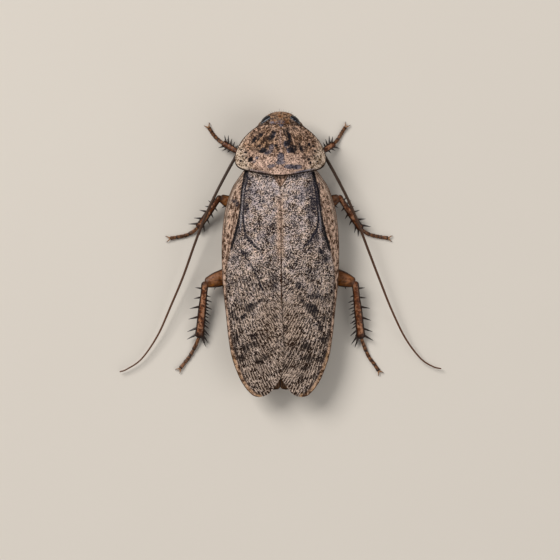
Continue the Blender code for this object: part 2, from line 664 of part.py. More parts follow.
def make_wings():
    long_shares = sorted(list(steps(FOREWING_ROWS))[:-1] + FOREWING_MORE_ROWS)
    short_shares = sorted(list(steps(HINDWING_ROWS))[:-1] + HINDWING_MORE_ROWS)
    for side, height in (("left", roof_height), ("right", dipped_height)):
        turn = 1 if side == "right" else -1
        rows = wing_rows(FOREWING_OUTER, FOREWING_INNER[side], turn, long_shares, FOREWING_LINES, VEIN_RISE)
        tip = (turn * FOREWING_TIP[0], FOREWING_TIP[1], 0.0)
        cover = body(add_plate, rows, tip, False, height, roof_height, WING_THICKNESS)
        finish(cover, "forewing_" + side, "forewing")
        rows = wing_rows(HINDWING_OUTER, HINDWING_INNER, turn, short_shares, HINDWING_LINES, 0.0)
        tip = (turn * HINDWING_TIP[0], HINDWING_TIP[1], 0.0)
        fan = body(add_plate, rows, tip, False, hindwing_height, roof_height, WING_THICKNESS)
        finish(fan, "hindwing_" + side, "hindwing")
    finish(body(add_scutellum), "scutellum", "pronotum")


# Legs

def add_limb(mesh, route, size, taper, extra):
    half_widths = [size[0] * row[1] + extra for row in taper]
    half_heights = [size[1] * (1 - HEIGHT_EASE * (1 - row[1])) + extra for row in taper]
    axis = longer(along(route, [row[0] for row in taper]), extra)
    add_tube(mesh, axis, half_widths, half_heights, LEG_SIDES)


def add_foot(mesh, route, extra):
    """The foot's joints, each narrow in its middle, pressed flat where they meet the floor."""
    count = FOOT_JOINTS * 2
    radii = [FOOT_RADIUS * (1 if place % 2 == 0 else FOOT_WAIST) + extra for place in range(count + 1)]
    add_tube(mesh, along(route, steps(count)), radii, radii, FOOT_SIDES)
    for vert in mesh.verts:
        if vert.co.z < FLAT_BELOW:
            vert.co.z = 0.0


def add_claw(mesh, end, ahead, spread):
    level = Vector((ahead.x, ahead.y, 0)).normalized()
    root = end + level.cross(UP) * math.copysign(CLAW_APART, -spread)
    level.rotate(Matrix.Rotation(math.radians(spread), 3, "Z"))
    route = along([root + level * forward + UP * upward for forward, upward in CLAW], steps(CLAW_STEPS))
    radii = [CLAW_RADIUS * (1 - CLAW_TAPER * share) for share in steps(CLAW_STEPS)]
    add_tube(mesh, route, radii, radii, CLAW_SIDES)


def add_spine(mesh, root, tip):
    ahead = (tip - root).normalized()
    across = ahead.orthogonal().normalized()
    beside = ahead.cross(across)
    ring = []
    for side in range(SPINE_SIDES):
        angle = math.tau * side / SPINE_SIDES
        outward = across * math.cos(angle) + beside * math.sin(angle)
        ring.append(mesh.verts.new(root + outward * SPINE_RADIUS))
    point = mesh.verts.new(tip)
    for side in range(SPINE_SIDES):
        mesh.faces.new([ring[side], ring[(side + 1) % SPINE_SIDES], point])
    mesh.faces.new(ring)


def make_spines(name, rows, start, end, half_width):
    """Spine bodies along both sides of a piece of leg, each rooted on its axis."""
    piece = end - start
    down = piece.normalized()
    outward = down.cross(UP).normalized() * (1 if name.endswith("left") else -1)
    draw = random.Random(name)
    spines = []
    for shares, which, lengths, leans, climb in rows:
        for place, share in enumerate(shares):
            part = place / max(len(shares) - 1, 1)
            length = lengths[0] + (lengths[1] - lengths[0]) * part
            length *= 1 + SPINE_VARIATION * draw.uniform(-1, 1)
            lean = math.radians(leans[0] + (leans[1] - leans[0]) * part)
            level = outward * which * math.cos(lean) + down * math.sin(lean)
            ahead = (level + UP * math.tan(math.radians(climb))).normalized()
            root = start + piece * share
            reach = half_width / math.cos(lean) + length
            spines.append(body(add_spine, root, root + ahead * reach))
    return spines


def make_leg(name):
    pair, side = name.split("_")
    coxa = mirrored(COXA_ROUTES[pair], side)
    knee, ankle, foot = LEG_ROUTES[name]
    sizes = LEG_SIZES[pair]
    hip, knee, ankle = Vector(coxa[-1]), Vector(knee), Vector(ankle)
    foot = [ankle] + [Vector(point) for point in foot]

    def femur_body(extra):
        return body(add_limb, [hip, knee], sizes["femur"], FEMUR_TAPER, extra)

    def tibia_body(extra):
        return body(add_limb, [knee, ankle], sizes["tibia"], TIBIA_TAPER, extra)

    upper = body(add_limb, coxa, sizes["coxa"], COXA_TAPER, 0)
    combine(upper, [body(add_ball, hip, JOINT_BALL["hip"] + GAP), femur_body(GAP)], "DIFFERENCE")
    finish(upper, name + "_coxa", "leg")

    femur = femur_body(0)
    depth = sizes["femur"][0] * KNEE_SPINE_DEPTH
    knee_spines = make_spines(name, KNEE_SPINES.get(pair, []), hip, knee, depth)
    combine(femur, [body(add_ball, hip, JOINT_BALL["hip"])] + knee_spines, "UNION")
    combine(femur, [body(add_ball, knee, JOINT_BALL["knee"] + GAP), tibia_body(GAP)], "DIFFERENCE")
    finish(femur, name + "_femur", "leg")

    tibia = tibia_body(0)
    spines = make_spines(name, SPINE_ROWS[pair], knee, ankle, sizes["tibia"][0])
    combine(tibia, [body(add_ball, knee, JOINT_BALL["knee"])] + spines, "UNION")
    ankle_ball = body(add_ball, ankle, JOINT_BALL["ankle"] + GAP)
    combine(tibia, [ankle_ball, body(add_foot, foot, GAP)], "DIFFERENCE")
    finish(tibia, name + "_tibia", "leg")

    tarsus = body(add_foot, foot, 0)
    ahead = foot[-1] - foot[-2]
    claws = [body(add_claw, foot[-1], ahead, CLAW_SPREAD * turn) for turn in (-1, 1)]
    combine(tarsus, [body(add_ball, ankle, JOINT_BALL["ankle"])] + claws, "UNION")
    finish(tarsus, name + "_tarsus", "leg")


for leftover in list(bpy.data.objects):
    bpy.data.objects.remove(leftover)
make_head()
make_pronotum()
make_trunk()
make_wings()
for side_name in ("left", "right"):
    make_antenna(side_name)
for leg_name in LEG_ROUTES:
    make_leg(leg_name)
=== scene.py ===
import math
import random

import bpy
import numpy as np
from mathutils import Matrix, Vector


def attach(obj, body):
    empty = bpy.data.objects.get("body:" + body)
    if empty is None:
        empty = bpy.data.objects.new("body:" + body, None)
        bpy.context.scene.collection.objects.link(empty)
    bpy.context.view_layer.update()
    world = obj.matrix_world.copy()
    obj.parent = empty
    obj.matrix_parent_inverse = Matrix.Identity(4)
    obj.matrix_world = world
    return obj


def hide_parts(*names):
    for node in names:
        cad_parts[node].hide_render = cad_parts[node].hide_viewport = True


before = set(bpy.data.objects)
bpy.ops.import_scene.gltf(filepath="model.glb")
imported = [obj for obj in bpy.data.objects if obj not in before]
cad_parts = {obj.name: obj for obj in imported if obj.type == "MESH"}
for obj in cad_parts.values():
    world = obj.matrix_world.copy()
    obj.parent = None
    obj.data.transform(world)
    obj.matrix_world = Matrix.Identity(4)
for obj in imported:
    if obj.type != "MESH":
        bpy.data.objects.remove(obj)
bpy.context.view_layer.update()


# Thorax and abdomen: hard chestnut plates, in the abdomen eight rings that overlap like roof tiles towards
# the tail. They grew as one shell with soft skin between the plates, and lie under the folded wings.
MM = 0.001
# The folded wings from the tail to the shield: height at the midline and at the hem, and half width, at y.
WING_RIDGE = [
    (-22.9, 4.9), (-18.0, 6.0), (-12.0, 7.2), (-5.0, 8.05), (2.0, 8.3), (7.0, 8.05), (10.0, 7.65),
    (14.3, 6.75),
]
WING_HEM = [(-22.9, 4.4), (-18.0, 4.5), (-8.0, 4.7), (2.0, 4.9), (10.0, 4.9), (14.3, 4.5)]
WING_SPAN = [
    (-22.9, 6.2), (-20.0, 7.0), (-17.0, 7.8), (-13.5, 8.4), (-9.8, 8.8), (-5.0, 9.3), (0.0, 9.5),
    (4.2, 9.35), (7.6, 8.85), (10.9, 7.8), (14.3, 6.2),
]
WING_ARCH = 3
SHIELD_RIDGE = [(12.5, 8.1), (14.5, 8.65), (17.0, 8.8), (19.0, 8.35), (20.9, 7.5)]
SHIELD_HALF_WIDTH = 7.33
SHIELD_DROP = 3.4
SHIELD_ARCH = 2.2
# The most that a slope adds to a depth.
STEEPEST = 2.0
# How deep the trunk lies under the shield, under the wings' roots and, behind these, under the folded wings.
SHIELD_DEPTH, ROOTS_DEPTH, WINGS_DEPTH = 0.42, 0.05, 2.54
WINGS_START, ROOTS_END = 14.5, 9.95
# Rows down the trunk: y, half width, top and bottom.
PROTHORAX = [
    (18.75, 1.2, 5.9, 3.7), (18.4, 2.0, 6.2, 3.4), (17.6, 2.9, 8.4, 3.1), (16.6, 3.6, 8.4, 2.95),
    (15.0, 4.1, 8.4, 2.95), (14.4, 4.2, 8.4, 2.95), (13.4, 4.25, 8.4, 3.0), (12.9, 4.1, 8.0, 3.15),
]
THORAX = [
    (12.9, 4.0, 8.0, 3.2), (12.3, 4.5, 8.4, 3.0), (11.9, 4.7, 8.4, 3.0), (11.0, 5.0, 8.4, 3.0),
    (9.9, 5.05, 6.2, 3.0), (9.2, 5.1, 5.6, 3.0), (8.3, 5.2, 5.6, 3.0), (7.9, 5.1, 5.6, 3.1),
    (7.5, 5.25, 5.6, 3.0), (4.6, 5.4, 5.6, 3.0), (2.2, 5.55, 5.6, 3.0), (1.2, 5.5, 5.5, 3.05),
]
THORAX_EDGES = [0.3, 0.2, 0.2, 0.2, 0.2, 0.3, 0.8, 1.0, 0.4, 0.2, 0.5, 0.95]
ABDOMEN = [
    (-19.7, 2.0, 3.05, 2.4), (-19.0, 2.6, 3.2, 2.3), (-17.0, 3.9, 3.6, 2.1), (-14.0, 5.5, 4.15, 2.0),
    (-10.0, 6.6, 4.75, 2.1), (-6.0, 6.9, 5.3, 2.5), (-2.0, 6.5, 5.6, 2.9), (1.3, 5.7, 5.6, 3.0),
]
BELLY_START = 1.3
BELLY_LENGTH = 21.0
RINGS_OF_ABDOMEN = 8
# One ring from front to back: share of its length, and how far it stands out.
RING_EDGE = [(0.0, -0.16), (0.12, -0.1), (0.5, -0.03), (0.86, 0.0), (0.95, 0.02), (1.0, -0.06)]
TAIL_END = (-20.15, 1.3, 2.95, 2.45)
TRUNK_SIDES = 96
TRUNK_BOXINESS = 3.2
FLUTES, FLUTE_DEPTH = 6, 0.03


def read(table, where):
    """Values at places on a smooth curve through a rising table of (place, value) rows."""
    places, values = np.array(table, dtype=float).T
    slopes = np.gradient(values, places)
    where = np.clip(where, places[0], places[-1])
    cell = np.clip(np.searchsorted(places, where, side="right") - 1, 0, len(places) - 2)
    width = places[cell + 1] - places[cell]
    t = (where - places[cell]) / width
    rise = (t ** 3 - 2 * t ** 2 + t) * slopes[cell] + (t ** 3 - t ** 2) * slopes[cell + 1]
    return values[cell] + (3 * t ** 2 - 2 * t ** 3) * (values[cell + 1] - values[cell]) + width * rise


def roof(x, y):
    """Upper face of the folded forewings."""
    hem = read(WING_HEM, y)
    share = np.minimum(np.abs(x) / read(WING_SPAN, y), 1.0)
    return hem + (read(WING_RIDGE, y) - hem) * (1 - share ** WING_ARCH)


def shield_top(x, y):
    """Upper face of the shield."""
    share = np.minimum(np.abs(x) / SHIELD_HALF_WIDTH, 1.0)
    return read(SHIELD_RIDGE, y) - SHIELD_DROP * share ** SHIELD_ARCH


def beneath(height, x, y, depth):
    """Height of what lies the given depth under a curved face, square to it."""
    reach = 0.05
    slope_x = (height(x + reach, y) - height(x - reach, y)) / (2 * reach)
    slope_y = (height(x, y + reach) - height(x, y - reach)) / (2 * reach)
    return height(x, y) - depth * np.minimum(np.sqrt(1 + slope_x ** 2 + slope_y ** 2), STEEPEST)


def under_wings(x, y):
    return beneath(roof, x, y, np.where(y > ROOTS_END, ROOTS_DEPTH, WINGS_DEPTH))


def under_shield(x, y):
    cover = beneath(shield_top, x, y, SHIELD_DEPTH)
    return np.where(y < WINGS_START, np.minimum(cover, under_wings(x, y)), cover)


def begun(name, material):
    """Name the mesh that was just added, give it its material, and read its points."""
    made = bpy.context.object
    made.name = made.data.name = name
    made.data.materials.append(material)
    points = np.empty(len(made.data.vertices) * 3)
    made.data.vertices.foreach_get("co", points)
    return made, points.reshape(-1, 3)


def ball(name, material, segments, rings):
    """A ball to be drawn out, with each point's ring from pole to pole and its turn round the axis."""
    bpy.ops.mesh.primitive_uv_sphere_add(segments=segments, ring_count=rings)
    made, points = begun(name, material)
    ring = np.rint(np.arccos(np.clip(points[:, 2], -1, 1)) / math.pi * rings).astype(int)
    return made, ring, np.arctan2(points[:, 1], points[:, 0])


def shape(made, points, **marks):
    """Move the points to places in millimetres, smooth the mesh, and write each mark's values at them."""
    made.data.vertices.foreach_set("co", (np.asarray(points) * MM).ravel())
    made.data.update()
    made.data.shade_smooth()
    for name, values in marks.items():
        mark = made.data.attributes.new(name, "FLOAT", "POINT")
        mark.data.foreach_set("value", np.asarray(values, dtype=np.float32))
    return made


class Wire:
    """A socket among a material's nodes, so that sums on it are written as in Python."""

    def __init__(self, tree, socket):
        self.tree = tree
        self.socket = socket

    def node(self, kind, settings, sockets, output=0):
        """Add a node of a kind, first with its settings, then with the values or links of its sockets."""
        added = self.tree.nodes.new("ShaderNode" + kind)
        for setting, value in settings.items():
            if setting == "stops":
                while len(added.color_ramp.elements) < len(value):
                    added.color_ramp.elements.new(1.0)
                for element, (place, colour) in zip(added.color_ramp.elements, value):
                    element.position = place
                    element.color = (*colour, 1)
            else:
                setattr(added, setting, value)
        for socket, value in sockets.items():
            if isinstance(value, Wire):
                self.tree.links.new(added.inputs[socket], value.socket)
            elif added.inputs[socket].type == "RGBA":
                added.inputs[socket].default_value = (*value, 1)
            else:
                added.inputs[socket].default_value = value
        return Wire(self.tree, added.outputs[output])

    def sum(self, operation, first, second=0.0):
        return self.node("Math", {"operation": operation}, {0: first, 1: second})

    def __add__(self, other):
        return self.sum("ADD", self, other)

    def __sub__(self, other):
        return self.sum("SUBTRACT", self, other)

    def __rsub__(self, other):
        return self.sum("SUBTRACT", other, self)

    def __mul__(self, other):
        return self.sum("MULTIPLY", self, other)

    def __abs__(self):
        return self.sum("ABSOLUTE", self)

    __radd__ = __add__
    __rmul__ = __mul__

    def higher(self, other):
        return self.sum("MAXIMUM", self, other)

    def step(self, low, high):
        """From 0 at low to 1 at high, smoothly."""
        sockets = {0: self, 1: low, 2: high, 3: 0.0, 4: 1.0}
        return self.node("MapRange", {"interpolation_type": "SMOOTHSTEP"}, sockets)

    def between(self, first, second):
        """The colour that lies between two by this value."""
        return self.node("Mix", {"data_type": "RGBA"}, {0: self, 6: first, 7: second}, 2)

    def blend(self, first, second):
        """The number that lies between two by this value."""
        return (second - first) * self + first

    def mark(self, name):
        """A value written at the points of the piece."""
        return self.node("Attribute", {"attribute_name": name}, {}, "Fac")

    def part(self, axis):
        return self.node("SeparateXYZ", {}, {0: self}, axis)

    def cells(self, size):
        """Distance from the middle of round cells that are about size metres across."""
        return self.node("TexVoronoi", {"feature": "F1"}, {"Vector": self, "Scale": 1 / size})

    def grain(self, size, detail=3.0, rough=0.6, twist=0.0):
        """Cloudy noise whose patches are about size metres across."""
        sockets = dict(Vector=self, Scale=1 / size, Detail=detail, Roughness=rough, Distortion=twist)
        return self.node("TexNoise", {}, sockets)

    def drawn(self, sizes, turn):
        """These places turned round Z and divided by a length along each axis, to draw patterns out."""
        sockets = {0: self, "Rotation": (0, 0, turn), "Scale": sizes}
        return self.node("Mapping", {"vector_type": "TEXTURE"}, sockets)

    def laid_out(self, other, width, length):
        """Places on a flat map: this value over a width, and another over a length."""
        return self.node("CombineXYZ", {}, {0: self * (1 / width), 1: other * (1 / length), 2: 0.0})


def finish(name):
    """A new material, and the places on the piece that its patterns start from."""
    made = bpy.data.materials.new(name)
    made.use_nodes = True
    tree = made.node_tree
    return made, Wire(tree, tree.nodes.new("ShaderNodeTexCoord").outputs["Object"])


def lay_on(material, height, depth, **sockets):
    """Join colours and values to the material's shader, with a relief of the given depth in millimetres."""
    shader = material.node_tree.nodes["Principled BSDF"]
    sockets["Normal"] = height.node("Bump", {}, {"Strength": 1.0, "Distance": depth * MM, "Height": height})
    for socket, value in sockets.items():
        socket = socket.replace("_", " ")
        if isinstance(value, Wire):
            material.node_tree.links.new(shader.inputs[socket], value.socket)
        else:
            shader.inputs[socket].default_value = value


def belongs(piece, slot, *nodes):
    """Attach a finished piece to the root, and hide the solids that it stands for; slot is not used."""
    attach(piece, "root")
    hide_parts(*nodes)


shell, at = finish("chestnut shell")
mottle = at.grain(0.0011, 4.0, 0.6).step(0.35, 0.7)
amber = mottle.between((0.125, 0.05, 0.02), (0.27, 0.13, 0.055))
chestnut = at.mark("plate").step(0.62, 1.0).between(amber, (0.045, 0.018, 0.009))
lay_on(
    shell, at.grain(0.00018, 2.0), 0.03, Base_Color=chestnut, Roughness=mottle * 0.1 + 0.3,
    Coat_Weight=0.25, Coat_Roughness=0.25,
)


def trunk(name, rows, ceiling, edges):
    """A rounded box through rows of y, half width, top and bottom, kept under what covers it."""
    made, ring, turn = ball(name, shell, TRUNK_SIDES, len(rows) + 1)
    made.data.flip_normals()
    row = np.clip(ring - 1, 0, len(rows) - 1)
    y, half_width, top, bottom = np.array(rows)[row].T
    sideways, lift = [
        np.sign(part) * np.abs(part) ** (2 / TRUNK_BOXINESS) * ((ring > 0) & (ring <= len(rows)))
        for part in (np.cos(turn), np.sin(turn))
    ]
    middle = (top + bottom) / 2
    z = np.minimum(middle + (top - middle) * lift, ceiling(sideways * half_width, y))
    z += FLUTE_DEPTH * np.cos(FLUTES * turn) * (lift < 0)
    return shape(made, np.stack([sideways * half_width, y, z], axis=1), plate=np.array(edges)[row])


belongs(trunk("fore_chest", PROTHORAX, under_shield, [0.2] * len(PROTHORAX)), "body", "prothorax")
belongs(trunk("hind_chest", THORAX, under_wings, THORAX_EDGES), "body", "thorax")

tiles, tile_edges = [], []
for number in range(RINGS_OF_ABDOMEN):
    for share, step in RING_EDGE:
        y = BELLY_START - BELLY_LENGTH * (number + share) / RINGS_OF_ABDOMEN
        half_width, top, bottom = [read([(row[0], row[n]) for row in ABDOMEN], y) for n in (1, 2, 3)]
        tiles.append((y, half_width + step, top + step / 2, bottom - step / 2))
        tile_edges.append(share)
belongs(trunk("belly", tiles + [TAIL_END], under_wings, tile_edges + [0.8]), "body", "abdomen")


# Neck: a short tube of soft ringed skin, of the trunk's chestnut. It grew between the chest and the head,
# and lets the head tuck under.
NECK_ROUTE = [(0, 19.6, 4.7), (0, 18.9, 4.65), (0, 18.2, 4.65)]
NECK_WIDTHS = [(0, 1.25), (1, 1.3)]
UP = Vector((0, 0, 1))
CURVE_STEPS = 24


def curve(points, shares):
    """Points of the smooth curve through the given ones, at shares of its length."""
    given = np.array(points, dtype=float)
    padded = np.vstack([2 * given[0] - given[1], given, 2 * given[-1] - given[-2]])
    t = np.linspace(0, 1, CURVE_STEPS, endpoint=False)[:, None]
    fine = []
    for a, b, c, d in zip(padded, padded[1:], padded[2:], padded[3:]):
        bend = (2 * a - 5 * b + 4 * c - d) * t ** 2 + (3 * b - a - 3 * c + d) * t ** 3
        fine.append(b + 0.5 * ((c - a) * t + bend))
    fine = np.vstack(fine + [given[-1:]])
    lengths = np.concatenate([[0], np.cumsum(np.linalg.norm(np.diff(fine, axis=0), axis=1))])
    wanted = np.asarray(shares) * lengths[-1]
    return np.stack([np.interp(wanted, lengths, fine[:, axis]) for axis in range(fine.shape[1])], axis=1)


def limb(
    name, material, route, widths, segments, rings, heights=None, caps=(0.06, 0.06), even=0.6, ripple=None,
):
    """A ball drawn out along a route, with half widths and half heights along it and round ends."""
    made, ring, turn = ball(name, material, segments, rings)
    share = even * ring / rings + (1 - even) * (1 - np.cos(math.pi * ring / rings)) / 2
    ahead = curve(route, np.minimum(share + 0.01, 1)) - curve(route, np.maximum(share - 0.01, 0))
    ahead /= np.linalg.norm(ahead, axis=1)[:, None]
    across = np.cross(ahead, UP)
    across /= np.linalg.norm(across, axis=1)[:, None]
    upward = np.cross(across, ahead)
    close = ripple(share) if ripple else 1
    for gap, cap in ((share, caps[0]), (1 - share, caps[1])):
        close = close * np.sqrt(1 - np.clip(1 - gap / cap, 0, 1) ** 2)
    sideways = across * (np.cos(turn) * read(widths, share) * close)[:, None]
    lifted = upward * (np.sin(turn) * read(heights or widths, share) * close)[:, None]
    marks = {"length": share, "side": np.cos(turn), "top": np.sin(turn), "fore": across[:, 1] * np.cos(turn)}
    return shape(made, curve(route, share) + sideways + lifted, **marks)


neck = limb(
    "neck_skin", shell, NECK_ROUTE, NECK_WIDTHS, 32, 30, ripple=lambda share: 1 + 0.04 * np.cos(share * 40),
)
belongs(neck, "body", "neck")


# Legs: six, each a broad flat hip plate, a flattened amber thigh, a shin with rows of stiff dark spines,
# and a foot of five short joints with two hooked claws. The joints grew with soft skin between them and
# bend like hinges.
SIDES = {"left": -1, "right": 1}
HIPS = {
    "fore": [(1.6, 17.2, 2.6), (2.2, 15.6, 2.45), (2.95, 14.0, 1.6)],
    "middle": [(2.35, 11.4, 2.65), (3.15, 8.9, 2.5), (3.9, 6.5, 1.6)],
    "hind": [(2.6, 4.7, 2.65), (3.7, 1.2, 2.5), (4.7, -2.0, 1.6)],
}
# Knee, ankle and four points down the foot, in x and y, and then how high each lies.
LEGS = {
    "fore_left": [
        (-6.5, 16.3), (-9.15, 17.95), (-9.8, 18.35), (-10.66, 19.2), (-11.2, 19.95), (-11.54, 20.5),
    ],
    "fore_right": [(6.3, 16.25), (8.6, 17.85), (9.1, 18.4), (9.65, 19.25), (10.1, 20.0), (10.5, 20.6)],
    "middle_left": [(-9.75, 9.2), (-13.25, 4.35), (-14.1, 3.7), (-15.2, 3.15), (-16.6, 2.85), (-17.75, 2.65)],
    "middle_right": [(9.5, 9.25), (13.0, 4.1), (13.8, 3.55), (14.8, 3.15), (16.1, 2.88), (17.35, 2.7)],
    "hind_left": [
        (-12.1, -4.6), (-13.05, -13.3), (-13.75, -14.8), (-14.65, -16.4), (-15.35, -17.3), (-16.15, -18.3),
    ],
    "hind_right": [
        (12.0, -4.55), (13.0, -13.45), (13.6, -15.0), (14.3, -16.5), (15.05, -17.5), (15.85, -18.7),
    ],
}
KNEE_HEIGHTS = {"fore": 2.3, "middle": 2.6, "hind": 2.6}
ANKLE_AND_FOOT_HEIGHTS = (0.85, 0.42, 0.24, 0.24, 0.36)
# Half width and half height of the hip plate, the thigh and the shin.
LIMB_SIZES = {
    "fore": [(1.05, 0.6), (0.95, 0.6), (0.52, 0.44)],
    "middle": [(1.5, 0.6), (1.12, 0.62), (0.56, 0.48)],
    "hind": [(1.8, 0.6), (1.38, 0.66), (0.7, 0.54)],
}
# How they swell from end to end: share of the length, share of that size.
HIP_SWELL = [(0.0, 0.5), (0.15, 0.86), (0.4, 1.0), (0.72, 0.82), (1.0, 0.4)]
THIGH_SWELL = [
    (0.0, 0.4), (0.12, 0.56), (0.27, 0.82), (0.43, 1.0), (0.62, 0.98), (0.8, 0.86), (0.9, 0.7), (1.0, 0.52),
]
SHIN_SWELL = [(0.0, 0.72), (0.06, 0.86), (0.14, 0.8), (0.5, 0.95), (0.86, 1.0), (0.95, 1.04), (1.0, 0.85)]
RING_WIDTHS = [(0, 0.4), (0.5, 0.56), (1, 0.42)]
RING_HEIGHTS = [(0, 0.4), (0.5, 0.5), (1, 0.42)]
# Spines: share of the limb's length, length in millimetres, and lean towards the foot in degrees.
OUTER_SPINES = {
    "fore": [(0.34, 0.5, -10), (0.5, 0.75, 8), (0.64, 0.95, 20), (0.78, 1.15, 32), (0.9, 1.0, 48)],
    "middle": [
        (0.12, 0.45, -8), (0.25, 0.72, -6), (0.36, 0.7, 22), (0.51, 1.05, 20), (0.73, 1.22, 34),
        (0.9, 1.4, 42),
    ],
    "hind": [
        (0.1, 0.86, 0), (0.26, 0.9, 13), (0.43, 1.36, 16), (0.62, 1.38, 23), (0.82, 1.45, 30),
        (0.94, 1.5, 38),
    ],
}
INNER_SPINES = {
    "fore": [(0.52, 0.5, 15), (0.7, 0.75, 30), (0.88, 0.95, 46)],
    "middle": [(0.3, 0.55, 15), (0.48, 0.75, 26), (0.66, 0.85, 32), (0.84, 1.05, 42), (0.95, 1.1, 58)],
    "hind": [
        (0.22, 0.4, 14), (0.3, 0.8, 16), (0.36, 0.45, 18), (0.42, 0.92, 20), (0.47, 0.5, 22),
        (0.52, 0.9, 26), (0.59, 0.5, 26), (0.65, 1.0, 28), (0.7, 0.5, 30), (0.75, 0.85, 32),
        (0.83, 1.35, 39), (0.89, 0.6, 42), (0.93, 1.6, 48), (0.97, 1.65, 68),
    ],
}
THIGH_SPINES = {
    "fore": [(0.7, 0.45, 30)],
    "middle": [(0.6, 0.5, 30), (0.76, 0.6, 30)],
    "hind": [(0.6, 0.75, 38), (0.78, 0.5, 40)],
}
SPINE_ROUTE = [(0, 0, 0), (0.5, 0, 0.03), (1.0, 0, -0.03)]
SPINE_WIDTHS = [(0, 0.17), (0.3, 0.14), (0.7, 0.07), (1, 0.012)]
HAIR_ROUTE = [(0, 0, 0), (0.5, 0, 0.05), (1.0, 0, -0.05)]
HAIR_WIDTHS = [(0, 0.022), (1, 0.006)]
HAIRS_PER_SHIN = 46
FOOT_JOINTS = [(0.0, 0.42), (0.4, 0.57), (0.55, 0.7), (0.68, 0.81), (0.79, 1.0)]
FOOT_WIDTHS = [(0.0, 0.24), (0.25, 0.27), (0.75, 0.31), (1.0, 0.34)]
FOOT_HEIGHTS = [(0.0, 0.2), (0.25, 0.22), (0.75, 0.26), (1.0, 0.29)]
PAD_WIDTHS, PAD_HEIGHTS = [(0, 0.16), (1, 0.17)], [(0, 0.11), (1, 0.12)]
SOLE_WIDTHS, SOLE_HEIGHTS = [(0, 0.1), (1, 0.15)], [(0, 0.08), (1, 0.09)]
# From the tip of the foot, the sole's way ahead and up, and a claw's to the side, ahead and up.
SOLE = [(-0.05, 0), (0.12, -0.06), (0.26, -0.12)]
CLAW = [(0.06, -0.1, 0), (0.2, 0.22, 0.04), (0.42, 0.52, -0.06), (0.48, 0.76, -0.26)]
CLAW_WIDTHS = [(0, 0.11), (0.5, 0.09), (1, 0.015)]


def coats(colour, *layers):
    """Lay further colours over one, each with how strongly it covers."""
    for strength, paint in layers:
        colour = strength.between(colour, paint)
    return colour


thigh_horn, at = finish("amber horn")
streak = at.drawn((0.0012, 0.00035, 0.0005), 0.2).grain(1.0, 3.0).step(0.3, 0.72)
worn = at.grain(0.0005).step(0.35, 0.6)
knees = at.mark("length").step(0.86, 0.99).higher(at.mark("length").step(0.16, 0.0))
amber = coats(
    streak.between((0.05, 0.011, 0.0), (0.25, 0.078, 0.003)),
    # Front half, towards the lamps: a paler pinker amber, partly the thigh's own two tones, partly painted
    # light.
    (at.mark("fore").step(-0.12, 0.12) * 0.75, worn.between((0.12, 0.033, 0.006), (0.29, 0.11, 0.038))),
    # Painted highlight: a pale pink band along the top ridge, broken by the mottling.
    (at.mark("top").step(0.72, 0.98) * worn * 0.3, (0.4, 0.21, 0.13)),
    (abs(at.mark("side")).step(0.66, 0.97).higher(knees * 0.8), (0.02, 0.005, 0.001)),
)
lay_on(
    thigh_horn, at.grain(0.00016, 2.0), 0.02, Base_Color=amber, Roughness=0.36 + streak * 0.08,
    Specular_IOR_Level=0.25, Coat_Weight=0.08, Coat_Roughness=0.3,
)

shin_horn, at = finish("brown shin horn")
length = at.mark("length")
flakes = at.grain(0.00075, 4.0, 0.65, 0.3).step(0.47, 0.58)
# Pale flakes on the top of the shin: partly its own mottling, partly a painted highlight along the top.
top_flakes_and_sheen = flakes * at.mark("top").step(0.45, 0.9) * length.step(0.0, 0.12) * length.step(0.97, 0.85)
brown = coats(
    at.grain(0.0004).step(0.3, 0.7).between((0.024, 0.005, 0.001), (0.15, 0.038, 0.006)),
    (top_flakes_and_sheen * 0.85, (0.4, 0.19, 0.1)),
    (abs(at.mark("side")).step(0.4, 0.9).higher(length.step(0.86, 0.98)), (0.014, 0.004, 0.001)),
)
lay_on(
    shin_horn, at.grain(0.00014, 2.0), 0.03, Base_Color=brown, Roughness=0.42 + flakes * 0.12,
    Specular_IOR_Level=0.25,
)

spine_horn, at = finish("dark spine horn")
tips = at.mark("length").step(0.15, 0.8)
dark = tips.between((0.022, 0.008, 0.004), (0.008, 0.004, 0.003))
lay_on(spine_horn, at.grain(0.00012, 2.0), 0.01, Base_Color=dark, Roughness=0.28 + tips * 0.05)

foot_horn, at = finish("foot horn")
joints = at.mark("length").step(0.7, 0.97).higher(at.mark("length").step(0.12, 0.0))
brown = at.grain(0.0004).step(0.35, 0.65).between((0.036, 0.012, 0.004), (0.21, 0.09, 0.038))
lay_on(
    foot_horn, at.grain(0.00012, 2.0), 0.02, Base_Color=joints.between(brown, (0.014, 0.005, 0.003)),
    Roughness=0.36 + joints * 0.08, Specular_IOR_Level=0.25,
)

claw_horn, at = finish("claw horn")
points = at.mark("length").step(0.35, 0.95)
brown = points.between((0.26, 0.11, 0.035), (0.03, 0.012, 0.006))
lay_on(claw_horn, at.grain(0.0001), 0.01, Base_Color=brown, Roughness=0.3 - points * 0.08)

pad_skin, at = finish("foot pad skin")
pale = at.grain(0.0002).between((0.3, 0.19, 0.11), (0.44, 0.31, 0.2))
lay_on(pad_skin, at.grain(0.00008, 3.0), 0.03, Base_Color=pale, Roughness=0.6 + at.grain(0.0003) * 0.1)


def mirrored(points, turn):
    """Points of the right side, moved to the left side where turn is -1."""
    return [(turn * x, y, z) for x, y, z in points]


def scaled(table, size, least=0.0):
    """A table of swelling times a size, of which the share called least stays everywhere."""
    return [(place, size * (least + (1 - least) * swell)) for place, swell in table]


def copied(master, matrix):
    """A copy of a finished small piece with its own mesh, moved to its place."""
    made = master.copy()
    made.data = master.data.copy()
    made.data.transform(matrix)
    bpy.context.scene.collection.objects.link(made)
    return made


def joined(parts):
    """One object of several, named as the first."""
    bpy.ops.object.select_all(action="DESELECT")
    for part in parts:
        part.select_set(True)
    bpy.context.view_layer.objects.active = parts[0]
    bpy.ops.object.join()
    return parts[0]


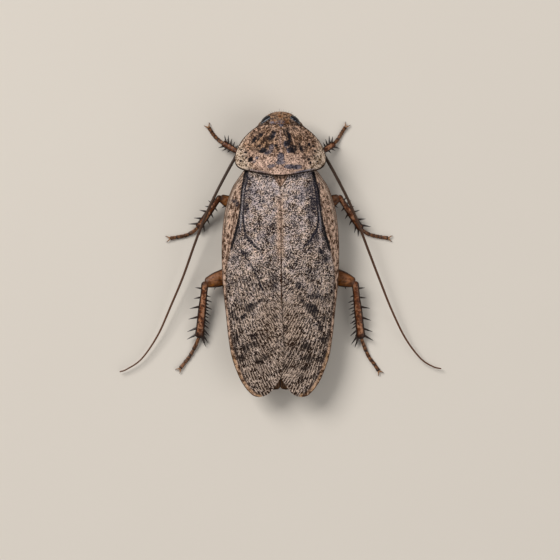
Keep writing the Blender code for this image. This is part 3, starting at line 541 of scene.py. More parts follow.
def pointing(root, ahead, length, thickness):
    """The matrix that sets a piece drawn along X, 1 mm long, at a root in millimetres."""
    turn = ahead.to_track_quat("X", "Z").to_matrix().to_4x4()
    size = Matrix.Diagonal((length, length * thickness, length * thickness, 1))
    return Matrix.Translation(root * MM) @ turn @ size


spine_model = limb("spine_model", spine_horn, SPINE_ROUTE, SPINE_WIDTHS, 8, 10)
hair_model = limb("hair_model", spine_horn, HAIR_ROUTE, HAIR_WIDTHS, 4, 5)


def spines_along(start, end, half_width, rows, outward, climb, draw):
    """Spines down one side of a limb, with small random changes, climb being their angle over the level."""
    made = []
    down = (end - start).normalized()
    for share, length, lean in rows:
        length = length * (1 + 0.08 * draw.uniform(-1, 1)) + half_width * 0.5
        lean = math.radians(lean + draw.uniform(-4, 4))
        rise = math.tan(math.radians(climb + draw.uniform(-5, 5)))
        ahead = outward * math.cos(lean) + down * math.sin(lean) + UP * rise
        root = start.lerp(end, share) + outward * half_width * 0.55
        made.append(copied(spine_model, pointing(root, ahead, length, 0.8 / length + 0.25)))
    return made


def hairs_on(start, end, half_width, outward, draw):
    """Fine hairs of 0.3 to 0.6 mm that lean towards the far end of a limb."""
    made = []
    down = (end - start).normalized()
    for number in range(HAIRS_PER_SHIN):
        turn = draw.uniform(-0.4, math.pi + 0.4)
        out = outward * math.cos(turn) + UP * math.sin(turn)
        place = 0.05 + 0.9 * (number + draw.random()) / HAIRS_PER_SHIN
        root = start.lerp(end, place) + out * half_width * 0.8
        length = draw.uniform(0.3, 0.6)
        ahead = out + down * draw.uniform(0.4, 1.2)
        made.append(copied(hair_model, pointing(root, ahead, length, 1 / length)))
    return made


for name, places in LEGS.items():
    pair, side = name.split("_")
    heights = (KNEE_HEIGHTS[pair], *ANKLE_AND_FOOT_HEIGHTS)
    knee, ankle, *foot = [(x, y, z) for (x, y), z in zip(places, heights)]
    knee, ankle, tip = Vector(knee), Vector(ankle), Vector(foot[-1])
    hip = mirrored(HIPS[pair], SIDES[side])
    end = Vector(hip[-1])
    (hip_wide, hip_high), (thigh_wide, thigh_high), (shin_wide, shin_high) = LIMB_SIZES[pair]
    draw = random.Random(name)

    plate = limb(
        name + "_hip_plate", thigh_horn, hip, scaled(HIP_SWELL, hip_wide), 40, 44,
        scaled(HIP_SWELL, hip_high, 0.55), (0.14, 0.1),
    )
    route = [end.lerp(knee, share) for share in (-0.07, 0, 0.12)]
    ring = limb(name + "_ring_joint", thigh_horn, route, RING_WIDTHS, 20, 20, RING_HEIGHTS, (0.4, 0.3))
    belongs(joined([plate, ring]), "leg", name + "_coxa")

    thigh = limb(
        name + "_thigh", thigh_horn, [end, end.lerp(knee, 0.5) + Vector((0, -0.08, 0.12)), knee],
        scaled(THIGH_SWELL, thigh_wide), 40, 60, scaled(THIGH_SWELL, thigh_high, 0.5), (0.05, 0.05),
    )
    inward = (knee - end).cross(UP).normalized() * SIDES[side]
    bristles = spines_along(end, knee, thigh_wide * 0.85, THIGH_SPINES[pair], inward, 0, draw)
    belongs(joined([thigh] + bristles), "leg", name + "_femur")

    down = (ankle - knee).normalized()
    outward = down.cross(UP).normalized() * -SIDES[side]
    route = [knee - down * 0.35, knee.lerp(ankle, 0.5) + UP * 0.06, ankle + down * 0.1]
    shin = limb(
        name + "_shin", shin_horn, route, scaled(SHIN_SWELL, shin_wide), 28, 70,
        scaled(SHIN_SWELL, shin_high), (0.05, 0.04),
    )
    spines = spines_along(knee, ankle, shin_wide, OUTER_SPINES[pair], outward, 10, draw)
    spines += spines_along(knee, ankle, shin_wide, INNER_SPINES[pair], -outward, -2, draw)
    ridge = [(share + 0.07, length * 0.55, lean + 12) for share, length, lean in OUTER_SPINES[pair][1:-1]]
    spines += spines_along(knee, ankle, shin_wide * 0.6, ridge, outward * 0.55, 48, draw)
    hairs = hairs_on(knee, ankle, shin_high, outward, draw)
    belongs(joined([shin] + spines + hairs), "leg", name + "_tibia")

    route = [ankle - down * 0.25] + foot
    parts = []
    for start, stop in FOOT_JOINTS:
        way = curve(route, np.linspace(start, stop, 5))
        parts.append(limb(name + "_foot", foot_horn, way, FOOT_WIDTHS, 16, 22, FOOT_HEIGHTS, (0.16, 0.12)))
        if stop < 1 and start > 0:
            heel = Vector(way[-1]) - UP * 0.1
            back = (Vector(way[-1]) - Vector(way[-2])).normalized() * 0.22
            way = [heel - back, heel, heel + back * 0.6]
            parts.append(limb(name + "_pad", pad_skin, way, PAD_WIDTHS, 12, 12, PAD_HEIGHTS, (0.4, 0.4)))
    forward = Vector((*np.subtract(foot[-1], foot[-2])[:2], 0)).normalized()
    beside = forward.cross(UP)
    for sign in (-1, 1):
        way = [tip + beside * sign * out + forward * ahead + UP * rise for out, ahead, rise in CLAW]
        parts.append(limb(name + "_claw", claw_horn, way, CLAW_WIDTHS, 10, 16))
    way = [tip + forward * ahead + UP * rise for ahead, rise in SOLE]
    parts.append(limb(name + "_sole", pad_skin, way, SOLE_WIDTHS, 12, 12, SOLE_HEIGHTS, (0.3, 0.4)))
    belongs(joined(parts), "foot", name + "_tarsus")

bpy.data.objects.remove(spine_model)


# Head: a brown mottled capsule tucked under the shield, face down, with two glossy black kidney eyes that
# wrap its corners, two pale eyelets, jaws under a flap of lip, and two pairs of jointed feelers at the
# mouth.
HEAD_ROUTE = [(0.0, 21.95, 6.4), (0.0, 19.85, 1.5)]
HEAD_WIDTHS = [
    (0.0, 1.0), (0.05, 1.75), (0.14, 2.35), (0.26, 2.72), (0.38, 2.8), (0.5, 2.62), (0.63, 2.2),
    (0.76, 1.78), (0.88, 1.42), (1.0, 1.1),
]
HEAD_DEPTHS = [
    (0.0, 0.75), (0.05, 1.05), (0.14, 1.36), (0.26, 1.55), (0.38, 1.6), (0.5, 1.5), (0.63, 1.32),
    (0.76, 1.1), (0.88, 0.9), (1.0, 0.66),
]
SOCKET_ROUTE = [(1.85, 21.35, 3.35), (2.05, 21.6, 3.2), (2.2, 21.75, 3.15)]
SOCKET_WIDTHS = [(0, 0.5), (1, 0.55)]
EYELET_ROUTE = [(1.35, 21.9, 4.1), (1.38, 22.05, 4.08), (1.4, 22.15, 4.05)]
EYELET_WIDTHS = [(0, 0.2), (1, 0.22)]
JAW_ROUTE = [(0.75, 20.5, 2.3), (0.9, 20.75, 1.6), (0.35, 20.7, 1.0)]
JAW_WIDTHS = [(0, 0.3), (0.5, 0.34), (1, 0.12)]
JAW_HEIGHTS = [(0, 0.3), (0.5, 0.3), (1, 0.1)]
BROW_HAIRS = 16
LIP_ROUTE = [(0.0, 21.45, 2.75), (0.0, 21.2, 1.95), (0.0, 20.75, 0.95)]
LIP_WIDTHS = [(0, 0.85), (0.4, 0.86), (0.75, 0.72), (1, 0.5)]
LIP_HEIGHTS = [(0, 0.3), (0.5, 0.24), (1, 0.16)]
EYE_SIZES = np.array([0.78, 1.2, 1.25])
EYE_PLACE = (2.15, 21.35, 5.15)
EYE_YAW = 47
EYE_RINGS = 36
# Mouth feelers: route, each joint's start, end and half width, and the points round and along a joint.
PALPS = {
    "mouth_feeler_": (
        [(1.0, 20.7, 2.2), (1.75, 21.0, 1.95), (2.15, 21.4, 1.4), (2.25, 21.5, 0.6)],
        [(0.0, 0.27, 0.2), (0.25, 0.5, 0.21), (0.48, 0.75, 0.23), (0.73, 1.0, 0.26)], 14, 16,
    ),
    "lip_feeler_": (
        [(0.6, 20.3, 1.6), (0.85, 20.7, 1.1), (0.95, 21.0, 0.55)],
        [(0.0, 0.5, 0.14), (0.47, 1.0, 0.17)], 12, 12,
    ),
}
PALP_SWELL = [(0, 0.7), (0.8, 1.0), (1, 0.8)]

face_horn, at = finish("mottled face horn")
blotch = at.grain(0.0004, 4.0, 0.7, 0.4)
# Where a painted sheen lies on the crown: behind y 21.2 mm, from the middle to the left.
brow = at.part("Y").step(0.0215, 0.0212) * at.part("X").step(0.0009, 0.0003)
orange = blotch.step(0.42, 0.58).between((0.07, 0.022, 0.005), (0.27, 0.12, 0.045))
brown = coats(
    blotch.step(0.44, 0.57).between((0.035, 0.013, 0.005), (0.33, 0.195, 0.115)),
    (at.grain(0.0009, 2.0).step(0.48, 0.6), orange),
    # Painted sheen: pale lilac flecks on the crown.
    (at.grain(0.00025, 3.0).step(0.42, 0.6) * brow * 0.8, (0.3, 0.26, 0.31)),
)
lay_on(
    face_horn, blotch + at.grain(0.00012) * 0.5, 0.06, Base_Color=brown, Roughness=0.5 + blotch * 0.15,
    Specular_IOR_Level=0.3,
)

parts = [limb("head_capsule", face_horn, HEAD_ROUTE, HEAD_WIDTHS, 96, 90, HEAD_DEPTHS, (0.13, 0.07))]
for turn in SIDES.values():
    parts += [
        limb("socket", face_horn, mirrored(SOCKET_ROUTE, turn), SOCKET_WIDTHS, 20, 14, caps=(0.3, 0.3)),
        limb("eyelet", pad_skin, mirrored(EYELET_ROUTE, turn), EYELET_WIDTHS, 16, 12, caps=(0.5, 0.5)),
        limb("jaw", spine_horn, mirrored(JAW_ROUTE, turn), JAW_WIDTHS, 16, 20, JAW_HEIGHTS),
    ]
draw = random.Random("brow")
for number in range(BROW_HAIRS):
    turn = math.radians(-62 + 124 * (number + draw.uniform(0.2, 0.8)) / BROW_HAIRS)
    out = Vector((math.sin(turn), math.cos(turn), draw.uniform(0.0, 0.4)))
    root = Vector((2.3 * math.sin(turn), 21.25 + 1.35 * math.cos(turn), draw.uniform(4.6, 5.5)))
    length = draw.uniform(0.55, 0.95)
    parts.append(copied(hair_model, pointing(root, out, length, 1 / length)))
belongs(joined(parts), "head", "head")
bpy.data.objects.remove(hair_model)

lip = limb("upper_lip", face_horn, LIP_ROUTE, LIP_WIDTHS, 40, 34, LIP_HEIGHTS, (0.12, 0.2))
belongs(lip, "head", "labrum")

eye_glass, at = finish("black eye glass")
inner = at.mark("inner")
gleam = inner.step(0.1, 0.18) * inner.step(0.36, 0.27) * (0.5 + at.grain(0.0003).step(0.35, 0.6) * 0.5)
skin = inner.step(0.38, 0.46)
glass = (gleam * at.grain(0.0006).step(0.38, 0.55)).between((0.006, 0.006, 0.009), (0.18, 0.19, 0.21))
rim = at.grain(0.0003, 3.0).step(0.42, 0.58).between((0.04, 0.018, 0.01), (0.3, 0.2, 0.15))
lay_on(
    eye_glass, at.cells(0.00007), 0.006, Base_Color=skin.between(glass, rim), Roughness=0.26 + skin * 0.25,
    Specular_IOR_Level=0.3, IOR=1.35,
)
for side, turn in SIDES.items():
    made, ring, angle = ball("eye_of_" + side, eye_glass, 48, EYE_RINGS)
    lean = ring / EYE_RINGS * math.pi
    local = np.stack([np.sin(lean) * np.cos(angle), np.sin(lean) * np.sin(angle), np.cos(lean)], axis=1)
    notch = 1 - 0.22 * np.exp(-((local[:, 1] - 0.1) ** 2 + (local[:, 2] + 0.75) ** 2) / 0.25)
    local = local * EYE_SIZES * notch[:, None]
    yaw = math.radians(turn * EYE_YAW)
    x = local[:, 0] * math.cos(yaw) - local[:, 1] * math.sin(yaw) + turn * EYE_PLACE[0]
    y = local[:, 0] * math.sin(yaw) + local[:, 1] * math.cos(yaw) + EYE_PLACE[1]
    inner = -turn * local[:, 0] / EYE_SIZES[0] - 0.28 * local[:, 1] / EYE_SIZES[1] + 0.45
    points = np.stack([x, y, local[:, 2] + EYE_PLACE[2]], axis=1)
    belongs(shape(made, points, inner=inner), "eye", "eye_" + side)

for side, turn in SIDES.items():
    parts = []
    for name, (route, joints, segments, rings) in PALPS.items():
        for start, stop, wide in joints:
            way = curve(mirrored(route, turn), np.linspace(start, stop, 4))
            widths = scaled(PALP_SWELL, wide)
            parts.append(limb(name + side, foot_horn, way, widths, segments, rings, caps=(0.2, 0.2)))
    belongs(joined(parts), "head", "palp_" + side)


# Shield: one broad domed plate over the chest and the back of the head, thin and a little see-through at
# its rim, tan with a net of dark brown, slate blue spots and a cream corner each side. Its edge is a fine
# raised bead.
SHIELD_OUTLINE = [
    (0.0, 20.85), (2.0, 20.8), (3.75, 20.4), (5.0, 19.5), (6.05, 18.4), (6.85, 17.1), (7.25, 16.0),
    (7.33, 15.2), (7.15, 14.4), (6.6, 13.8), (5.6, 13.42), (3.6, 13.0), (1.7, 12.65), (0.0, 12.53),
]
SHIELD_MIDDLE, SHIELD_THICKNESS, SHIELD_BEAD = 16.4, 0.5, 0.07
# Slate and black spots: x, y, half width, half height, turn in degrees, strength.
SLATE_SPOTS = [
    (-1.4, 17.05, 0.55, 0.7, 0, 0.6), (-2.0, 16.3, 0.9, 0.5, 15, 0.6), (-2.7, 16.7, 0.5, 0.4, 0, 0.5),
    (0.85, 17.6, 0.4, 0.6, 0, 0.9), (1.35, 16.6, 0.45, 0.5, 0, 0.9), (0.05, 15.5, 0.62, 0.8, 0, 1.0),
    (0.0, 14.7, 0.95, 0.5, 0, 0.75), (-1.45, 14.1, 0.95, 0.4, 14, 0.65), (1.5, 14.0, 1.0, 0.45, 0, 0.95),
    (2.6, 13.95, 1.0, 0.45, 5, 0.9), (0.15, 20.62, 0.4, 0.32, 0, 1.0), (-3.75, 15.4, 0.3, 0.28, 0, 0.9),
    (-4.2, 14.85, 0.45, 0.3, 30, 0.6), (-1.1, 19.0, 0.3, 0.7, -29, 0.8), (1.9, 16.7, 0.3, 0.3, 0, 0.5),
]
BLACK_SPOTS = [
    (-1.34, 18.95, 0.46, 1.05, -29, 1.0), (1.1, 19.15, 0.48, 1.05, 37, 1.0),
    (1.6, 18.25, 0.35, 0.45, 20, 0.7), (1.9, 16.8, 0.8, 0.75, 0, 1.0), (3.0, 17.1, 0.7, 0.5, 0, 0.45),
    (4.1, 17.0, 0.6, 0.8, 0, 0.5), (1.15, 17.75, 0.5, 0.7, 0, 0.9), (3.3, 16.9, 0.3, 1.0, 20, 1.0),
    (2.95, 18.1, 0.25, 0.6, 25, 0.4), (-0.7, 17.35, 0.32, 0.27, 0, 0.85), (-1.5, 17.5, 0.5, 0.6, 0, 0.25),
    (-2.8, 16.55, 0.8, 0.5, 20, 0.8), (-3.3, 17.3, 0.45, 0.4, 0, 0.6), (-4.75, 15.15, 0.38, 0.55, -35, 1.0),
    (-4.2, 18.3, 0.35, 0.95, -35, 0.7), (-3.2, 18.9, 0.32, 0.85, -35, 0.75),
    (4.1, 18.4, 0.25, 0.7, 35, 0.2), (-5.5, 16.3, 0.45, 0.17, 10, 0.8), (4.55, 15.2, 0.28, 0.28, 0, 0.85),
    (4.8, 14.65, 0.18, 0.26, 0, 1.0), (5.35, 15.8, 0.22, 0.2, 0, 1.0), (5.95, 15.7, 0.18, 0.18, 0, 1.0),
    (5.85, 14.85, 0.19, 0.18, 0, 1.0), (5.5, 16.5, 0.25, 0.24, 0, 0.85), (5.2, 17.3, 0.3, 0.22, 0, 0.8),
    (4.6, 17.6, 0.25, 0.32, 0, 0.8), (-6.25, 16.75, 0.25, 0.14, 30, 0.95),
    (-5.65, 16.35, 0.2, 0.16, 0, 0.9), (-6.0, 15.75, 0.18, 0.16, 0, 1.0), (-6.3, 14.95, 0.22, 0.2, 0, 1.0),
    (-5.45, 15.45, 0.2, 0.2, 0, 0.9), (-5.45, 14.25, 0.17, 0.16, 0, 0.9), (0.0, 18.8, 0.15, 0.42, 0, 0.55),
    (0.02, 17.25, 0.17, 0.24, 0, 0.75), (1.1, 19.9, 0.6, 0.5, 0, 0.5), (2.3, 20.1, 0.7, 0.35, -20, 0.6),
    (3.9, 15.6, 0.6, 0.5, 0, 0.45),
]
# Where the dark rim starts, at y, from 0 in the middle of the plate to 1 at its edge.
RIM_START = [12.8, 13.2, 13.8, 14.6], [0.945, 0.945, 0.95, 0.975]


def fade(value, start, width):
    """From 0 at a start to 1 a width further on, or a width before it where the width is negative."""
    return np.clip((value - start) / width, 0, 1)


def band(value, width, power=2):
    """1 where a value is 0, and falling softly to both sides."""
    return np.exp(-np.abs(value / width) ** power)


def plate(name, material, outline, centre_y, height, thickness, segments, rings, bead):
    """A thin domed plate inside a right-and-left outline: a ball pressed flat, its middle ring the edge."""
    made, ring, turn = ball(name, material, segments, rings)
    size = np.sin(math.pi * ring / rings)
    edge = curve(outline, np.abs(turn) / math.pi)
    x = -np.sign(turn) * edge[:, 0] * size
    y = centre_y + (edge[:, 1] - centre_y) * size
    full = np.sqrt(1 - fade(size, 0.955, 0.045) ** 2)
    upper = np.where(ring <= rings / 2, 1.0, -1.0)
    middle = (height(x, y) + beneath(height, x, y, thickness)) / 2
    half = (height(x, y) - beneath(height, x, y, thickness)) / 2
    z = middle + upper * half * full + bead * band(size - 0.985, 0.012) * (upper > 0)
    return made, np.stack([x, y, z], axis=1), size


def spotted(x, y, spots):
    """How strongly soft oval spots cover each place."""
    total = np.zeros(len(x))
    for at_x, at_y, wide, high, turn, strength in spots:
        cosine, sine = math.cos(math.radians(turn)), math.sin(math.radians(turn))
        across = ((x - at_x) * cosine + (y - at_y) * sine) / wide
        upward = (-(x - at_x) * sine + (y - at_y) * cosine) / high
        total = np.maximum(total, strength * np.clip(1.6 - np.hypot(across, upward) * 1.25, 0, 1))
    return total


shield_horn, at = finish("spotted shield horn")
net = at.mark("round").laid_out(at.mark("ray"), 0.42, 0.75).grain(1.0, 3.0, 0.7, 0.5)
fine = at.grain(0.00021, 3.0, 0.75)
cloud = at.grain(0.0014, 3.0)
patch = at.grain(0.0006, 3.0, 0.65)
grit = fine * 0.65 + patch * 0.35
speckle = grit.step(0.44, 0.56)
field, corner, deep = at.mark("field"), at.mark("corner"), at.mark("deep")
veil = (1 - field * 0.7) * (1 - corner * 0.82) * (deep * 0.4 + 0.6)
brown = speckle.between((0.03, 0.01, 0.003), (0.4, 0.22, 0.11))
slate = (fine * 0.6 + patch * 0.4).step(0.45, 0.6).between((0.022, 0.021, 0.032), (0.2, 0.175, 0.205))
tan = coats(
    speckle.between((0.055, 0.022, 0.009), (0.66, 0.43, 0.31)),
    ((deep * 0.85).higher(cloud.step(0.5, 0.62) * 0.6), brown),
    (field * 0.92, grit.step(0.42, 0.545).between((0.085, 0.037, 0.022), (0.86, 0.595, 0.47))),
    (corner, speckle.between((0.12, 0.07, 0.035), (0.8, 0.62, 0.48))),
    ((net + (cloud - 0.5) * 0.3).step(0.54, 0.465) * veil, (0.018, 0.007, 0.003)),
    (at.cells(0.00048).step(0.32, 0.22) * cloud.step(0.4, 0.52) * (1 - field * 0.7), (0.014, 0.006, 0.004)),
    ((at.mark("slate") * (0.75 + fine.step(0.6, 0.4) * 0.4)).step(0.15, 0.65) * 0.95, slate),
    (at.mark("black").step(0.2, 0.7) * (0.7 + patch.step(0.62, 0.48) * 0.3), (0.007, 0.005, 0.007)),
    (at.mark("line") * speckle * 0.8, (0.5, 0.34, 0.28)),
    (at.mark("hind") * 0.9, speckle.between((0.035, 0.034, 0.05), (0.19, 0.18, 0.22))),
    (at.mark("rim") * 0.97, (0.016, 0.007, 0.004)),
)
relief = net * 0.6 + fine * 0.4
lay_on(shield_horn, relief, 0.1, Base_Color=tan, Roughness=0.55 + fine * 0.12, Specular_IOR_Level=0.1)

made, points, size = plate(
    "shield", shield_horn, SHIELD_OUTLINE, SHIELD_MIDDLE, shield_top, SHIELD_THICKNESS, 240, 130, SHIELD_BEAD,
)
x, y, z = points.T
wide = np.abs(x)
right = x > 0
shape(
    made, points, slate=spotted(x, y, SLATE_SPOTS), black=spotted(x, y, BLACK_SPOTS),
    corner=np.maximum(
        fade(wide - 0.4 * (y - 15.2), 4.6, 1.2) * fade(y, 18.4, -1.6),
        band(size - 0.955, 0.022) * fade(wide, 4.5, 1.5),
    ),
    # Pale field, wider on the left: partly the shield's own pale field, partly painted light on the side
    # towards the main lamp.
    field=np.maximum(
        band(wide - 2.0, np.where(right, 2.3, 3.6)) * band(y - 14.7, 1.5),
        band(wide, 2.4, 4) * band(y - 13.2, 0.9, 4),
    ),
    deep=band(wide - 2.6, 1.7) * band(y - 17.8, 1.7) * np.where(right, 0.45, 1.0),
    # Slate hind margin, stronger on the right: partly the shield's own colour, partly painted shade on the
    # side away from the main lamp.
    hind=fade(size, 0.87, 0.04) * (y < 14.0) * band(wide - 3.7, 1.7, 4) * np.where(right, 1.0, 0.6),
    line=band(x, 0.17) * fade(y, 15.9, 0.8) * fade(y, 20.3, -0.6),
    rim=fade(size, np.interp(y, *RIM_START), 0.012),
    round=np.arctan2(x, 22.5 - y) * 5.5, ray=np.hypot(x, 22.5 - y),
)
belongs(made, "pronotum", "pronotum")


# Scutellum: a small three-cornered plate of the same horn as the shield. It grew on the chest, and shows
# between the wing roots behind the shield.
SCUTELLUM_OUTLINE = [(0.0, 13.3), (1.3, 12.95), (0.75, 11.8), (0.3, 11.0), (0.0, 10.62)]
SCUTELLUM_SPOT = (0.05, 12.2, 0.35, 0.3, 0, 0.5)


def scutellum_top(x, y):
    return roof(x, y) + 0.04


made, points, size = plate(
    "scutellum_plate", shield_horn, SCUTELLUM_OUTLINE, 12.2, scutellum_top, 0.3, 72, 40, 0.0,
)
x, y, z = points.T
none = np.zeros(len(x))
shape(
    made, points, slate=none, black=spotted(x, y, [SCUTELLUM_SPOT]), corner=none, field=none + 0.1, deep=none,
    hind=none, line=none, rim=fade(size, 0.86, 0.08) * 0.85, round=x, ray=y,
)
belongs(made, "pronotum", "scutellum")


# Hindwings: two thin smoky fans with fine ribs, folded away under the forewings. Only a sliver shows
# between the forewings' tips.
HIND_TIP = (1.25, -21.5)
HIND_OUTER = [
    (4.2, 10.35), (4.7, 8.7), (6.3, 5.2), (7.3, 0.0), (7.5, -6.0), (7.0, -12.0), (5.6, -16.5), (3.9, -19.4),
    (2.5, -20.9), HIND_TIP,
]
HIND_INNER = [
    (0.3, 10.35), (0.3, 8.7), (0.2, 4.0), (0.2, -6.0), (0.2, -14.0), (0.03, -19.0), (0.03, -20.6),
    (0.04, -21.2), (0.25, -21.42), (0.7, -21.5), HIND_TIP,
]
FAN_DEPTH, FAN_THICKNESS = 1.75, 0.12
FOLD_DEPTH, FOLD_TURNS = 0.05, 44


def membrane(name, material, inner, outer, turn, across_count, along_count, height, thickness):
    """A wing: a grid laid between its inner and outer margins, on a curved height, and then thickened."""
    bpy.ops.mesh.primitive_grid_add(x_subdivisions=across_count, y_subdivisions=along_count, size=2)
    made, points = begun(name, material)
    across, down = (points[:, :2].T + 1) / 2
    across = across if turn > 0 else 1 - across
    share = 0.9985 * (1 - down ** 1.35)
    near, far = curve(inner, share), curve(outer, share)
    places = near + (far - near) * across[:, None]
    x, y = turn * places[:, 0], places[:, 1]
    z, marks = height(x, y, across, share)
    shape(made, np.stack([x, y, z], axis=1), **marks)
    thick = made.modifiers.new("thickness", "SOLIDIFY")
    thick.thickness = thickness * MM
    thick.offset = -1
    bpy.ops.object.modifier_apply(modifier=thick.name)
    made.data.shade_smooth()
    return made


def fan_height(x, y, across, share):
    folds = np.cos(across * FOLD_TURNS)
    return beneath(roof, x, y, FAN_DEPTH) + folds * FOLD_DEPTH, {"rib": (folds + 1) / 2}


smoke, at = finish("smoky wing skin")
rib = at.mark("rib").step(0.7, 1.0)
# Partly the fans' own smoky amber, partly painted shade: the colour is kept dark for the shade between the
# forewings' tips.
smoky = at.grain(0.0008).between((0.1, 0.036, 0.007), (0.22, 0.095, 0.022))
ribbed = rib.between(smoky, (0.05, 0.018, 0.004))
lay_on(smoke, at.grain(0.0002), 0.02, Base_Color=ribbed, Roughness=0.4 + rib * 0.1)
for side, turn in SIDES.items():
    name = "hind_fan_" + side
    fan = membrane(name, smoke, HIND_INNER, HIND_OUTER, turn, 60, 120, fan_height, FAN_THICKNESS)
    belongs(fan, "hindwing", "hindwing_" + side)


# Forewings: two leathery covers that fold flat over the back, the left over the right, grey-brown with fine
# cream, slate and dark flecks between raised veins, a deep dark groove near the root and a tan outer field.
FORE_TIP = (3.5, -22.78)
FORE_OUTER = [
    (5.3, 14.15), (5.9, 13.4), (6.9, 12.0), (7.75, 10.6), (8.75, 7.6), (9.25, 4.2), (9.4, 0.0), (9.2, -5.0),
    (8.7, -9.8), (8.3, -13.5), (7.75, -16.5), (6.7, -19.4), (5.85, -20.95), (5.0, -22.0), (4.25, -22.6),
    FORE_TIP,
]
FORE_INNER = {
    "left": [
        (1.5, 13.3), (1.05, 12.35), (0.6, 11.5), (0.12, 10.75), (0.0, 10.2), (-0.06, 8.4), (-0.12, 4.0),
        (-0.22, -6.0), (-0.5, -13.0), (-0.52, -16.0), (-0.3, -18.4), (0.0, -19.7), (0.4, -20.45),
        (1.05, -21.35), (1.8, -22.2), (2.65, -22.65), FORE_TIP,
    ],
    "right": [
        (1.5, 13.3), (1.05, 12.35), (0.6, 11.5), (0.12, 10.75), (-0.1, 10.2), (-0.45, 8.4), (-0.9, 6.5),
        (-1.2, 1.0), (-1.2, -6.0), (-1.0, -14.0), (-0.3, -18.4), (0.15, -19.7), (0.5, -20.4),
        (1.15, -21.35), (1.85, -22.2), (2.65, -22.65), FORE_TIP,
    ],
}
# How far past the midline the left wing's edge lies, at y.
LAP = [
    (-20.45, -0.4), (-19.7, 0.0), (-18.4, 0.3), (-16.0, 0.52), (-13.0, 0.5), (-6.0, 0.22), (4.0, 0.12),
    (10.2, 0.0),
]
LAP_DEPTH = 0.17
COVER_THICKNESS = 0.1
# Lines on the wings: distance from the midline and y, from the root backwards.
GROOVE = {
    "left": [
        (5.54, 13.3), (5.8, 12.3), (6.12, 10.7), (6.26, 9.55), (6.36, 7.9), (6.5, 6.68), (6.69, 5.53),
        (6.88, 4.57), (7.12, 3.6), (7.36, 2.75), (7.65, 1.69), (7.85, 0.9),
    ],
    "right": [
        (5.28, 13.1), (5.6, 12.0), (5.95, 10.7), (6.2, 9.55), (6.33, 8.2), (6.5, 6.6), (6.7, 5.4),
        (6.95, 4.3), (7.2, 3.1), (7.5, 2.2), (7.77, 1.3), (7.95, 0.7),
    ],
}
FURROW = {
    "left": [
        (5.4, 13.3), (5.28, 11.95), (5.55, 10.9), (5.68, 9.6), (5.78, 8.5), (5.92, 6.7), (5.85, 5.0),
        (5.64, 3.5), (5.06, 2.46), (4.29, 1.6), (3.72, 1.02), (2.9, 0.5), (1.9, 0.3),
    ],
    "right": [
        (5.28, 13.1), (5.42, 11.5), (5.55, 10.3), (5.75, 9.08), (5.85, 7.9), (6.0, 6.7), (6.04, 5.24),
        (5.85, 4.1), (5.37, 3.4), (4.99, 2.55), (4.5, 1.9), (3.74, 1.2), (3.16, 0.83), (2.2, 0.4),
    ],
}
SECOND_LINE = {
    "left": [(6.6, 1.6), (6.2, 0.6), (5.18, -0.85), (4.06, -2.77), (3.3, -4.4), (2.75, -6.0), (2.35, -6.9)],
    "right": [(6.9, 1.6), (6.7, 0.2), (6.1, -1.6), (5.2, -3.6), (4.4, -5.4)],
}
SIDE_VEINS = [
    [(5.75, 13.0), (6.4, 12.15), (7.07, 11.3), (7.75, 10.0), (8.35, 8.0), (8.85, 5.0), (9.1, 1.0)],
    [(6.3, 8.1), (6.8, 7.6), (7.15, 6.9), (7.38, 6.0), (7.5, 4.9), (7.75, 3.6), (8.2, 1.8), (8.6, -1.0)],
]
# The groove's and furrow's widths at shares of their length, and how far each line is sunk or raised.
GROOVE_WIDTHS = [0, 0.15, 0.5, 0.85, 1], [0.22, 0.16, 0.12, 0.26, 0.2]
FURROW_WIDTHS = [0, 0.1, 0.45, 0.6, 1], [0.22, 0.12, 0.12, 0.19, 0.2]
GROOVE_DEPTH, FURROW_DEPTH, SECOND_DEPTH = 0.15, 0.12, 0.05
VEIN_RISE, SIDE_VEIN_RISE, PALE_RISE = 0.06, 0.05, 0.06
# Two more lines, by y: the outer field's edge behind the groove, and the line that the veins run along.
EDGE_LINE = [
    (-22.9, 3.2), (-20.5, 5.35), (-18.0, 6.45), (-15.7, 7.2), (-14.0, 7.6), (-12.0, 7.9), (-9.3, 8.25),
    (-5.0, 8.6), (-1.5, 8.45),
]
STREAM = [
    (-24.0, 6.4), (-20.0, 7.2), (-16.5, 7.75), (-9.8, 8.7), (0.0, 9.4), (4.2, 9.25), (10.6, 7.75),
    (14.2, 5.3),
]
STREAM_SPREAD = 0.069
# Veins: how many lie in one pitch, and where they start.
VEIN_PITCH, VEIN_WIDTH = 0.9, 0.07
VEINS = ((1, 13.0), (2, 2.0), (4, -6.0), (8, -16.0))
# The dark inner edge of the wing, at y.
INNER_EDGE = [-15, -9, -7, -1, 1, 8, 9.5], [0.25, 0.6, 1, 1, 0.35, 0.35, 0]
